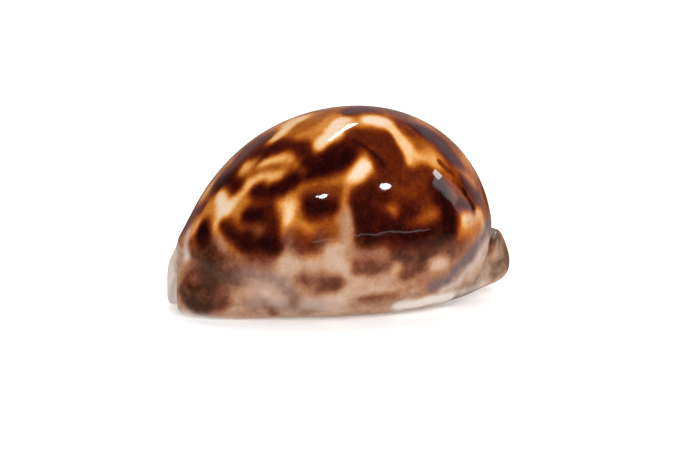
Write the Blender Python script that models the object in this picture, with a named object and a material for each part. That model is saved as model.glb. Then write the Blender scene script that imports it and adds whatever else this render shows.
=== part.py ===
"""Cowrie shell: one hollow piece, resting on its flattened base.

Metres, +Z up, with the origin under the middle of the shell. The shell lies along X with its
narrow front end at -X. Its mouth is a toothed slot in the base, with the columellar lip on the
-Y side, the outer lip on the +Y side, and an open canal at each end.

The surface is a single closed sheet of rings. It starts at the top of the back, runs down and
in under the sides, over the lips into the mouth, and up again as the inner wall. Each ring has
one point for each column, and a column runs from the top of the back to the top of the hollow.
"""

from dataclasses import dataclass
from typing import NamedTuple

import bmesh
import bpy
import numpy as np

MM = 0.001

# Outline seen from above, and height
HALF_LENGTH = 38.4 * MM
COLUMELLAR_HALF_WIDTH = 27.6 * MM
OUTER_HALF_WIDTH = 28.2 * MM
BLUNT_REAR = 0.06
HEIGHT = 46.4 * MM
TOP_X = 4.2 * MM
TOP_Y = -0.5 * MM

# Height of the widest line, and fullness of the back (2 is an ellipse)
WIDEST_COLUMELLAR = 15.0 * MM
WIDEST_OUTER = 12.5 * MM
WIDEST_REAR = 13.2 * MM
WIDEST_FRONT = 14.4 * MM
FULLNESS_COLUMELLAR = 2.1
FULLNESS_OUTER = 2.05
FULLNESS_REAR = 1.63
FULLNESS_FRONT = 1.62
SIDE_BLEND = 0.35

# Lobes that stand out round the two ends
LOBE_FRONT = 2.6 * MM
LOBE_REAR_COLUMELLAR = 4.7 * MM
LOBE_REAR_OUTER = 5.8 * MM
LOBE_SIDE = 0.9 * MM
CREST_FRONT_COLUMELLAR = 12.5 * MM
CREST_FRONT_OUTER = 14.8 * MM
CREST_REAR = 15.0 * MM
CREST_SIDE = 5.0 * MM
ABOVE_CREST = 2.0 * MM
LOBE_START = 3.0 * MM
CANAL_DIP = 0.6
REACH_FRONT = 36.0 * MM
REACH_REAR = 24.0 * MM
TUCK_COLUMELLAR = 9.0 * MM
TUCK_OUTER = 5.5 * MM
LIFT_REAR = 2.7 * MM
LIFT_REAR_FROM = 18.0 * MM
LIFT_FRONT = 0.8 * MM
LIFT_FRONT_FROM = 30.0 * MM
LIFT_END = 40.0 * MM

# Pit between the back and the rear lobe, measured along the edge from the rear canal
PIT_AT = 7.0 * MM
PIT_WIDTH = 4.5 * MM

# Mouth and canals
SLOT_FRONT_END = 37.2 * MM
SLOT_REAR_END = 35.8 * MM
SLOT_OFFSET = 3.6 * MM
SLOT_SKEW = -0.055
SLOT_BEND = -3.4
SLOT_HALF_WIDTH = 3.15 * MM
SLOT_FRONT_FLARE = 0.75 * MM
SLOT_FRONT_FLARE_X = -24.0 * MM
SLOT_FRONT_FLARE_LENGTH = 13.0 * MM
SLOT_REAR_PINCH = 0.25 * MM
SLOT_PINCH_FROM_TO = (-5.0 * MM, 30.0 * MM)
CANAL_HALF_FRONT = 4.2 * MM
CANAL_HALF_REAR = 3.9 * MM
CANAL_ROOF_FRONT = 8.5 * MM
CANAL_ROOF_REAR = 9.5 * MM
CANAL_ARCH = 0.75
FLARE_TO = 16.0 * MM

# Hollow
WALL = 3.3 * MM
THINNER_TOP = 0.7 * MM
FLOOR_INSET = 8.0 * MM
FLOOR_SPREAD = 0.35
FOOT_INSET = 5.8 * MM
SIDE_HOLLOW = (4.0 * MM, 22.0 * MM)
HOLLOW_WIDEST = 13.0 * MM
ABOVE_WIDEST = 1.0 * MM

# Teeth on both lips
TEETH = 25
TOOTH_HEIGHT = 0.75 * MM
TOOTH_SHARE = 0.42
TEETH_FIRST_RING = 20.6
TEETH_LAST_RING = 24.8
TEETH_FADE = 0.05

# Fineness of the sheet before and after thinning
SIDE_COLUMNS = 120
CANAL_COLUMNS = 16
STEPS_PER_RING = 2
TRIANGLES = 9000

SHELL_BROWN = (0.19, 0.075, 0.025, 1.0)
SHELL_ROUGHNESS = 0.16

OUTER_LIP, REAR_CANAL, COLUMELLAR_LIP, FRONT_CANAL = range(4)


@dataclass
class Columns:
    """Columns of the sheet, by the place on the margin that each one crosses."""

    angle: np.ndarray
    section: np.ndarray
    along: np.ndarray
    from_front: np.ndarray
    from_rear: np.ndarray
    outer: np.ndarray
    notch: np.ndarray
    dip: np.ndarray


class MarginStep(NamedTuple):
    """One ring of the margin, under the back and round the end lobes.

    A pair holds the value at the rear end and the one at the front end.
    """

    turn: float
    lobe_share: tuple[float, float]
    out: float
    crest_share: float
    up: tuple[float, float]
    lift_share: float = 0.0
    pit_out: float = 0.0
    pit_up: float = 0.0
    over_roof: float = 0.0


class MouthStep(NamedTuple):
    """One ring of the mouth: how far it is drawn in, its flare, its height and canal roof."""

    shorter: float
    flare: float
    height: float
    roof_up: float = 0.0
    on_base: bool = False


BACK_STEPS = (0.0, 0.11, 0.22, 0.33, 0.44, 0.55, 0.66, 0.77, 0.88, 1.0)

MARGIN_STEPS = (
    MarginStep(0.18, (0.00, 0.10), -0.3 * MM, 1.00, (1.3 * MM, 1.2 * MM)),
    MarginStep(0.34, (0.05, 0.36), -0.3 * MM, 1.00, (0.7 * MM, -0.4 * MM),
               pit_out=-0.9 * MM, pit_up=-1.6 * MM, over_roof=4.4 * MM),
    MarginStep(0.44, (0.40, 0.62), 0.0, 1.00, (0.7 * MM, -2.0 * MM),
               pit_up=1.2 * MM, over_roof=3.8 * MM),
    MarginStep(0.54, (0.76, 0.86), 0.0, 1.00, (-2.2 * MM, -3.8 * MM), over_roof=3.0 * MM),
    MarginStep(0.66, (1.00, 1.00), 0.0, 0.57, (0.0, 0.0), over_roof=2.2 * MM),
    MarginStep(0.78, (1.03, 1.03), 0.0, 0.34, (0.0, 0.0), lift_share=0.4,
               over_roof=1.2 * MM),
)

# The two rings that turn the margin under: reach as a share of the rear and the front lobe
LOW_TURN = 0.90
LOW_REACH = (0.72, 1.05)
LOW_HEIGHT = 1.0 * MM
LOW_OVER_ROOF = 0.6 * MM
RIM_REACH = (0.2, 0.9)
RIM_OUT = (-1.4 * MM, -0.2 * MM)
RIM_OVER_ROOF = -0.1 * MM

BASE_STEPS = (0.35, 0.7)
BASE_SAG = -0.55 * MM
SAG_ENDS = 1.5 * MM

LIP_EDGE = MouthStep(0.0, 2.4 * MM, -0.5 * MM, on_base=True)
MOUTH_STEPS = (
    MouthStep(0.3 * MM, 1.5 * MM, -0.45 * MM, on_base=True),
    MouthStep(0.8 * MM, 0.4 * MM, 0.5 * MM, on_base=True),
    MouthStep(1.8 * MM, 0.0, 2.0 * MM, roof_up=0.1 * MM),
    MouthStep(3.5 * MM, 0.0, 3.6 * MM, roof_up=0.3 * MM),
    MouthStep(6.0 * MM, 0.7 * MM, 5.2 * MM, roof_up=0.8 * MM),
    MouthStep(8.0 * MM, 2.2 * MM, 6.2 * MM, roof_up=1.6 * MM),
)
FLOOR = MouthStep(7.6 * MM, 5.0 * MM, 6.4 * MM, roof_up=3.0 * MM)
FOOT = MouthStep(6.4 * MM, 6.0 * MM, 8.4 * MM, roof_up=4.4 * MM)


def smooth(value, low, high):
    """Smooth step from 0 at low to 1 at high."""
    t = np.clip((value - low) / (high - low), 0.0, 1.0)
    return t * t * (3.0 - 2.0 * t)


def mix(first, second, weight):
    return first + (second - first) * weight


def outline(angle):
    """Egg-shaped margin of the back, seen from above."""
    half_width = np.where(np.sin(angle) >= 0.0, OUTER_HALF_WIDTH, COLUMELLAR_HALF_WIDTH)
    x = HALF_LENGTH * np.cos(angle)
    y = half_width * np.sin(angle) * (1.0 + BLUNT_REAR * np.cos(angle))
    return np.stack([x, y], axis=-1)


def outward(angle):
    """Unit normals of the margin, pointing away from the shell."""
    step = 1e-4
    tangent = outline(angle + step) - outline(angle - step)
    normal = np.stack([tangent[:, 1], -tangent[:, 0]], axis=-1)
    return normal / np.linalg.norm(normal, axis=1)[:, None]


def make_columns(per_side, per_canal):
    """Columns spaced evenly along the two lips and across the two canals."""
    dense = np.linspace(0.0, 2.0 * np.pi, 20001)
    lengths = np.linalg.norm(np.diff(outline(dense), axis=0), axis=1)
    arc = np.concatenate([[0.0], np.cumsum(lengths)])
    whole = arc[-1]
    front = np.interp(np.pi, dense, arc)
    side = np.arange(per_side) / per_side
    across = np.arange(per_canal) / per_canal
    swing = 0.5 - 0.5 * np.cos(np.pi * across)
    rear_middle = slot_line(SLOT_REAR_END)
    front_middle = front - slot_line(-SLOT_FRONT_END)
    rear_ends = rear_middle + CANAL_HALF_REAR, rear_middle - CANAL_HALF_REAR
    front_ends = front_middle - CANAL_HALF_FRONT, front_middle + CANAL_HALF_FRONT
    arcs = np.concatenate([
        mix(front_ends[0], rear_ends[0], side),
        mix(rear_ends[0], rear_ends[1], swing),
        mix(rear_ends[1], front_ends[1] - whole, side),
        mix(front_ends[1] - whole, front_ends[0] - whole, swing),
    ])
    from_rear = arcs - rear_middle
    from_rear = np.where(from_rear < -0.5 * whole, from_rear + whole, from_rear)
    arcs = np.mod(arcs, whole)
    angle = np.interp(arcs, arc, dense)
    section = np.repeat(range(4), [per_side, per_canal, per_side, per_canal])
    along = np.concatenate([side, across, side, across])
    in_canal = (section == REAR_CANAL) | (section == FRONT_CANAL)
    return Columns(
        angle=angle,
        section=section,
        along=along,
        from_front=np.abs(arcs - front_middle),
        from_rear=from_rear,
        outer=0.5 + 0.5 * np.clip(np.sin(angle) / SIDE_BLEND, -1.0, 1.0),
        notch=np.where(in_canal, np.sin(np.pi * along) ** CANAL_ARCH, 0.0),
        dip=np.where(in_canal, np.sin(np.pi * along) ** 2, 0.0),
    )


def by_direction(columns, rear, front, columellar, outer):
    """Blend four values of the shell's sides round its columns."""
    rear_part = np.clip(np.cos(columns.angle), 0.0, 1.0) ** 2
    front_part = np.clip(-np.cos(columns.angle), 0.0, 1.0) ** 2
    side = mix(columellar, outer, columns.outer)
    return rear * rear_part + front * front_part + side * (1.0 - rear_part - front_part)


def widest_height(columns):
    return by_direction(columns, WIDEST_REAR, WIDEST_FRONT, WIDEST_COLUMELLAR, WIDEST_OUTER)


def back_ring(columns, rho, inset, top, low):
    """Ring of the domed back, or of the hollow under it: rho is 0 at the top, 1 at the margin."""
    fullness = by_direction(
        columns, FULLNESS_REAR, FULLNESS_FRONT, FULLNESS_COLUMELLAR, FULLNESS_OUTER)
    power = 2.0 / (2.0 + (fullness - 2.0) * rho ** 2)
    reach = np.sin(np.pi * rho / 2.0) ** power
    rise = np.cos(np.pi * rho / 2.0) ** power
    margin = outline(columns.angle) - outward(columns.angle) * inset
    centre = np.array([TOP_X, TOP_Y]) * (1.0 - rho ** 2)
    flat = centre + margin * reach[:, None]
    return np.column_stack([flat, low + (top - low) * rise])


def end_weights(columns):
    """How much each column belongs to the front lobe and to the rear lobe."""
    front = 1.0 - smooth(columns.from_front, LOBE_START, REACH_FRONT)
    rear = 1.0 - smooth(np.abs(columns.from_rear), LOBE_START, REACH_REAR)
    return front, rear


def lobe_reach(columns):
    """How far the margin stands out past the back."""
    front, rear = end_weights(columns)
    rear_reach = mix(LOBE_REAR_COLUMELLAR, LOBE_REAR_OUTER, columns.outer)
    side = LOBE_SIDE * columns.outer * (1.0 - front) * (1.0 - rear)
    return (LOBE_FRONT * front + rear_reach * rear + side) * (1.0 - CANAL_DIP * columns.dip)


def crest_height(columns):
    """Height of the lobes' upper edge, falling to the sides."""
    front, rear = end_weights(columns)
    crest_front = mix(CREST_FRONT_COLUMELLAR, CREST_FRONT_OUTER, columns.outer)
    crest = (crest_front * front + CREST_REAR * rear) / np.maximum(front + rear, 1e-6)
    return mix(CREST_SIDE, crest, np.clip(front + rear, 0.0, 1.0))


def canal_roof(columns):
    front, rear = end_weights(columns)
    return np.where(front > rear, CANAL_ROOF_FRONT, CANAL_ROOF_REAR)


def end_lift(x):
    """Height of the base above the ground towards the two ends."""
    rear = LIFT_REAR * smooth(x, LIFT_REAR_FROM, LIFT_END)
    front = LIFT_FRONT * smooth(-x, LIFT_FRONT_FROM, LIFT_END)
    return rear + front


def margin_rings(columns):
    """Rings from under the back, round the lobes, to the rim of the base."""
    front, rear = end_weights(columns)
    lobed = np.clip(front + rear, 0.0, 1.0)
    crest = crest_height(columns)
    reach = lobe_reach(columns)
    roof = canal_roof(columns)
    widest = widest_height(columns)
    tuck = mix(TUCK_COLUMELLAR, TUCK_OUTER, columns.outer)
    margin = outline(columns.angle)
    normal = outward(columns.angle)
    lift = end_lift(margin[:, 0])
    pit = np.exp(-((columns.from_rear + PIT_AT) / PIT_WIDTH) ** 2)

    def ring(turn, out, height):
        """Blend the plain turned-under side with the lobe's own profile."""
        quarter = np.pi / 2.0 * turn
        side_out = -tuck * (1.0 - np.cos(quarter))
        side_height = widest * (1.0 - np.sin(quarter))
        flat = margin + normal * mix(side_out, out, lobed)[:, None]
        return np.column_stack([flat, mix(side_height, height, lobed)])

    rings = []
    for step in MARGIN_STEPS:
        out = mix(*step.lobe_share, front) * reach + step.out + step.pit_out * pit
        height = step.crest_share * crest + mix(*step.up, front)
        height += step.lift_share * lift + step.pit_up * pit
        over = np.maximum(height, roof + step.over_roof)
        rings.append(ring(step.turn, out, mix(height, over, columns.notch)))
    low = ring(LOW_TURN, reach * mix(*LOW_REACH, front), np.full_like(reach, LOW_HEIGHT))
    low[:, 2] = mix(low[:, 2] + LOW_TURN * lift, roof + LOW_OVER_ROOF, columns.notch)
    rings.append(low)
    rim = ring(1.0, reach * mix(*RIM_REACH, front) + mix(*RIM_OUT, front), np.zeros_like(reach))
    rim[:, 2] = mix(rim[:, 2] + lift, roof + RIM_OVER_ROOF, columns.notch)
    rings.append(rim)
    return rings


def slot_line(x):
    """Middle line of the mouth, which bends to the columellar side behind."""
    return SLOT_OFFSET + SLOT_SKEW * x + SLOT_BEND * x * x


def slot_half_width(x):
    flare = np.exp(-((x - SLOT_FRONT_FLARE_X) / SLOT_FRONT_FLARE_LENGTH) ** 2)
    pinch = smooth(x, *SLOT_PINCH_FROM_TO)
    return SLOT_HALF_WIDTH + SLOT_FRONT_FLARE * flare - SLOT_REAR_PINCH * pinch


def mouth_ring(columns, step):
    """Ring round the mouth: straight along the lips, and arched over the canals."""
    x = np.zeros_like(columns.along)
    y = np.zeros_like(columns.along)
    z = np.full_like(columns.along, step.height)
    front = step.shorter - SLOT_FRONT_END
    rear = SLOT_REAR_END - step.shorter

    def half_width(at):
        narrowing = 0.0 if step.on_base else smooth(np.abs(at), FLARE_TO, SLOT_REAR_END)
        return slot_half_width(at) + step.flare * (1.0 - narrowing)

    lips = ((OUTER_LIP, front, rear, 1.0), (COLUMELLAR_LIP, rear, front, -1.0))
    for section, start, stop, side in lips:
        here = columns.section == section
        x[here] = mix(start, stop, columns.along[here])
        y[here] = slot_line(x[here]) + side * half_width(x[here])
    canals = (
        (REAR_CANAL, rear, 1.0, CANAL_ROOF_REAR),
        (FRONT_CANAL, front, -1.0, CANAL_ROOF_FRONT),
    )
    for section, end, side, roof in canals:
        here = columns.section == section
        half_turn = np.pi * columns.along[here]
        x[here] = end
        y[here] = slot_line(end) + side * half_width(end) * np.cos(half_turn)
        z[here] = mix(step.height, roof + step.roof_up, np.sin(half_turn) ** CANAL_ARCH)
    if step.on_base:
        lift = end_lift(x)
        level = min(step.height, 0.0) * smooth(lift, 0.0, SAG_ENDS)
        z += (lift - level) * (1.0 - columns.notch)
    return np.column_stack([x, y, z])


def base_rings(columns, rim):
    """Rings across the base, from its rim to the lips."""
    edge = mouth_ring(columns, LIP_EDGE)
    lift = end_lift(rim[:, 0])
    roof = canal_roof(columns)
    rings = []
    for share in BASE_STEPS:
        ring = mix(rim, edge, share)
        lifted = mix(lift, end_lift(edge[:, 0]), share)
        sag = BASE_SAG * (1.0 - smooth(lifted, 0.0, SAG_ENDS))
        ring[:, 2] = mix(lifted + sag, roof, columns.notch)
        rings.append(ring)
    return rings


def hollow_rings(columns):
    """Rings of the hollow, from its floor beside the mouth up to its top."""
    margin = outline(columns.angle)
    normal = outward(columns.angle)
    from_canals = np.minimum(columns.from_front, np.abs(columns.from_rear))
    side = smooth(from_canals, *SIDE_HOLLOW)
    floor = mouth_ring(columns, FLOOR)
    corner = np.column_stack([margin - normal * FLOOR_INSET, floor[:, 2]])
    rings = [mix(floor, corner, (FLOOR_SPREAD * side)[:, None])]
    foot = mouth_ring(columns, FOOT)
    wall_foot = np.column_stack([margin - normal * FOOT_INSET, foot[:, 2]])
    rings.append(mix(foot, wall_foot, mix(FLOOR_SPREAD, 1.0, side)[:, None]))
    low = np.maximum(widest_height(columns), HOLLOW_WIDEST) + ABOVE_WIDEST
    for rho in reversed(BACK_STEPS):
        rings.append(back_ring(columns, rho, WALL, HEIGHT - WALL + THINNER_TOP, low))
    return rings


def spline_weights(t):
    """Weights of four neighbours on a uniform cubic B-spline."""
    return np.array([
        (1.0 - t) ** 3,
        3.0 * t ** 3 - 6.0 * t ** 2 + 4.0,
        -3.0 * t ** 3 + 3.0 * t ** 2 + 3.0 * t + 1.0,
        t ** 3,
    ]) / 6.0


def smooth_sheet(net, steps):
    """Cubic B-spline over the rings and columns, closed to a point at both ends."""
    half = net.shape[1] // 2
    before = np.roll(net[1], half, axis=0)
    after = np.roll(net[-2], half, axis=0)
    padded = np.concatenate([before[None], net, after[None]])
    rows = []
    for ring in range(len(net) - 1):
        for step in range(steps):
            weights = spline_weights(step / steps)
            rows.append(np.tensordot(weights, padded[ring:ring + 4], axes=1))
    rows.append(np.tensordot(spline_weights(1.0), padded[-4:], axes=1))
    sheet = np.stack(rows)
    around = spline_weights(0.0)
    sheet = (around[0] * np.roll(sheet, 1, axis=1) + around[1] * sheet
             + around[2] * np.roll(sheet, -1, axis=1))
    sheet[0] = sheet[0].mean(axis=0)
    sheet[-1] = sheet[-1].mean(axis=0)
    return sheet


def sheet_normals(sheet):
    """Outward normals of the sheet's points."""
    along = np.gradient(sheet, axis=0)
    around = np.roll(sheet, -1, axis=1) - np.roll(sheet, 1, axis=1)
    normal = np.cross(around, along)
    length = np.linalg.norm(normal, axis=2, keepdims=True)
    return normal / np.maximum(length, 1e-12)


def add_teeth(sheet, columns):
    """Raise the teeth of both lips across the edge of the mouth."""
    ring = np.arange(len(sheet)) / STEPS_PER_RING
    middle = 0.5 * (TEETH_FIRST_RING + TEETH_LAST_RING)
    span = 0.5 * (TEETH_LAST_RING - TEETH_FIRST_RING)
    across = np.clip(1.0 - ((ring - middle) / span) ** 2, 0.0, 1.0)
    on_lip = (columns.section == OUTER_LIP) | (columns.section == COLUMELLAR_LIP)
    ends = smooth(columns.along, 0.0, TEETH_FADE) * smooth(1.0 - columns.along, 0.0, TEETH_FADE)
    wave = 0.5 - 0.5 * np.cos(2.0 * np.pi * TEETH * columns.along)
    tooth = np.where(on_lip, (wave - TOOTH_SHARE) * ends, 0.0)
    relief = TOOTH_HEIGHT * across[:, None] * tooth[None, :]
    return sheet + sheet_normals(sheet) * relief[:, :, None]


def shell_sheet():
    """All points of the shell, ring by ring, lying on the ground and centred over the origin."""
    columns = make_columns(SIDE_COLUMNS, CANAL_COLUMNS)
    widest = widest_height(columns)
    rings = [back_ring(columns, rho, 0.0, HEIGHT, widest) for rho in BACK_STEPS]
    rings[-1][:, 2] = np.maximum(widest, crest_height(columns) + ABOVE_CREST)
    rings += margin_rings(columns)
    rings += base_rings(columns, rings[-1])
    rings += [mouth_ring(columns, step) for step in MOUTH_STEPS]
    rings += hollow_rings(columns)
    sheet = smooth_sheet(np.stack(rings), STEPS_PER_RING)
    sheet = add_teeth(sheet, columns)
    sheet[:, :, 2] = np.maximum(sheet[:, :, 2], 0.0)
    middle = 0.5 * (sheet.min(axis=(0, 1)) + sheet.max(axis=(0, 1)))
    sheet[:, :, :2] -= middle[:2]
    return sheet


def wrap_sphere(sheet):
    """Move the points of a UV sphere onto the sheet, pole to pole."""
    rings, columns = sheet.shape[:2]
    mesh = bpy.data.meshes.new("cowrie_shell")
    shape = bmesh.new()
    bmesh.ops.create_uvsphere(shape, u_segments=columns, v_segments=rings - 1, radius=1.0)
    for vertex in shape.verts:
        x, y, z = vertex.co
        ring = round(np.arccos(np.clip(z, -1.0, 1.0)) / np.pi * (rings - 1))
        column = round(-np.arctan2(y, x) / (2.0 * np.pi) * columns) % columns
        vertex.co = sheet[ring, column]
    bmesh.ops.triangulate(shape, faces=shape.faces[:])
    bmesh.ops.recalc_face_normals(shape, faces=shape.faces[:])
    shape.to_mesh(mesh)
    shape.free()
    return mesh


def shell_material():
    material = bpy.data.materials.new("polished_shell")
    material.use_nodes = True
    surface = material.node_tree.nodes["Principled BSDF"]
    surface.inputs["Base Color"].default_value = SHELL_BROWN
    surface.inputs["Roughness"].default_value = SHELL_ROUGHNESS
    surface.inputs["Metallic"].default_value = 0.0
    return material


def make_shell(collection):
    """The whole shell, thinned where its surface is nearly flat."""
    mesh = wrap_sphere(shell_sheet())
    mesh.materials.append(shell_material())
    mesh.shade_smooth()
    shell = bpy.data.objects.new("cowrie_shell", mesh)
    collection.objects.link(shell)
    thin = shell.modifiers.new("thin", "DECIMATE")
    thin.ratio = TRIANGLES / len(mesh.polygons)
    return shell


def main():
    for old in list(bpy.data.objects):
        bpy.data.objects.remove(old, do_unlink=True)
    collection = bpy.data.collections.new("cowrie")
    bpy.context.scene.collection.children.link(collection)
    make_shell(collection)


if __name__ == "__main__":
    main()
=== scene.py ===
"""Cowrie shell, finished: the glossy spotted shell on a pale floor in soft studio light.

Metres, +Z up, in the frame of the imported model: the narrow front end is at -X, the columellar
side at -Y and the outer lip at +Y. The shell is one closed sheet of rings that starts at the top
of the back, runs down and in under the sides, over the lips into the mouth, and up again as the
inner wall. Its markings are brushed on as point attributes, which the material turns to colour.
"""

import logging
import math
from dataclasses import dataclass, field
from enum import Enum, IntEnum
from typing import NamedTuple

import bpy
import numpy as np
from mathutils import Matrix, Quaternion, Vector, noise
from mathutils.bvhtree import BVHTree

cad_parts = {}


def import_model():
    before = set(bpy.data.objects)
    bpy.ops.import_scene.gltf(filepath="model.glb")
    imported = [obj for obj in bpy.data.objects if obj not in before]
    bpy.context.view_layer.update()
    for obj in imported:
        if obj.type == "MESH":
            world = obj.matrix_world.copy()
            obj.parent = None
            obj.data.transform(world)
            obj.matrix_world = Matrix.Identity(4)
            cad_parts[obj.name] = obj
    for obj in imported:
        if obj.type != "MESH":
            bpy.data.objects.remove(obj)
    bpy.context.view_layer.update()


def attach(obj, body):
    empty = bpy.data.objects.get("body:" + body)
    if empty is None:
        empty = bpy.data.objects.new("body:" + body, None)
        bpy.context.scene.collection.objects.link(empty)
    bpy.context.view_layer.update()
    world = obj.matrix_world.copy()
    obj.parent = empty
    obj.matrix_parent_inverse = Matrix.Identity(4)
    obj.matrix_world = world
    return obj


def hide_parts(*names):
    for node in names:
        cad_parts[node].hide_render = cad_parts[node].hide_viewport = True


MM = 0.001
SHELL_NODE = "cowrie_shell"
PHOTO_WIDTH = 700
PHOTO_HEIGHT = 467

log = logging.getLogger("cowrie")


def smooth(value: np.ndarray, low: float, high: float) -> np.ndarray:
    """Smooth step from 0 at low to 1 at high."""
    t = np.clip((value - low) / (high - low), 0.0, 1.0)
    return t * t * (3.0 - 2.0 * t)


def mix(first: np.ndarray, second: np.ndarray, weight: np.ndarray) -> np.ndarray:
    """Straight blend from first to second."""
    return first + (second - first) * weight


class Section(IntEnum):
    """The four stretches of the margin that the columns cross, in their order."""

    OUTER_LIP = 0
    REAR_CANAL = 1
    COLUMELLAR_LIP = 2
    FRONT_CANAL = 3


@dataclass
class Columns:
    """Columns of the sheet, by the place on the margin that each one crosses."""

    angle: np.ndarray
    section: np.ndarray
    along: np.ndarray
    from_front: np.ndarray
    from_rear: np.ndarray
    outer: np.ndarray
    notch: np.ndarray
    dip: np.ndarray


class MarginStep(NamedTuple):
    """One ring of the margin, under the back and round the end lobes.

    A pair holds the value at the rear end and the one at the front end.
    """

    turn: float
    lobe_share: tuple[float, float]
    out: float
    crest_share: float
    up: tuple[float, float]
    lift_share: float = 0.0
    pit_out: float = 0.0
    pit_up: float = 0.0
    over_roof: float = 0.0


class MouthStep(NamedTuple):
    """One ring of the mouth: how far it is drawn in, its flare, its height and canal roof."""

    shorter: float
    flare: float
    height: float
    roof_up: float = 0.0
    on_base: bool = False


class RowBand(NamedTuple):
    """A run of the sheet's control rings that is divided equally finely."""

    rings: int
    steps: int


BACK_STEPS = (0.0, 0.11, 0.22, 0.33, 0.44, 0.55, 0.66, 0.77, 0.88, 1.0)

MARGIN_STEPS = (
    MarginStep(0.18, (0.00, 0.10), -0.3 * MM, 1.00, (1.3 * MM, 1.2 * MM)),
    MarginStep(0.34, (0.05, 0.36), -0.3 * MM, 1.00, (0.7 * MM, -0.4 * MM),
               pit_out=-0.9 * MM, pit_up=-1.6 * MM, over_roof=4.4 * MM),
    MarginStep(0.44, (0.40, 0.62), 0.0, 1.00, (0.7 * MM, -2.0 * MM),
               pit_up=1.2 * MM, over_roof=3.8 * MM),
    MarginStep(0.54, (0.76, 0.86), 0.0, 1.00, (-2.2 * MM, -3.8 * MM), over_roof=3.0 * MM),
    MarginStep(0.66, (1.00, 1.00), 0.0, 0.57, (0.0, 0.0), over_roof=2.2 * MM),
    MarginStep(0.78, (1.03, 1.03), 0.0, 0.34, (0.0, 0.0), lift_share=0.4,
               over_roof=1.2 * MM),
)

BASE_STEPS = (0.35, 0.7)
LIP_EDGE = MouthStep(0.0, 2.4 * MM, -0.5 * MM, on_base=True)
MOUTH_STEPS = (
    MouthStep(0.3 * MM, 1.5 * MM, -0.45 * MM, on_base=True),
    MouthStep(0.8 * MM, 0.4 * MM, 0.5 * MM, on_base=True),
    MouthStep(1.8 * MM, 0.0, 2.0 * MM, roof_up=0.1 * MM),
    MouthStep(3.5 * MM, 0.0, 3.6 * MM, roof_up=0.3 * MM),
    MouthStep(6.0 * MM, 0.7 * MM, 5.2 * MM, roof_up=0.8 * MM),
    MouthStep(8.0 * MM, 2.2 * MM, 6.2 * MM, roof_up=1.6 * MM),
)
FLOOR = MouthStep(7.6 * MM, 5.0 * MM, 6.4 * MM, roof_up=3.0 * MM)
FOOT = MouthStep(6.4 * MM, 6.0 * MM, 8.4 * MM, roof_up=4.4 * MM)

ROW_BANDS = (
    RowBand(10, 7),
    RowBand(7, 5),
    RowBand(3, 3),
    RowBand(5, 7),
    RowBand(3, 2),
    RowBand(9, 2),
)

# Control rings between which the pale base begins
BASE_RINGS = (15.5, 17.5)


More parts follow.
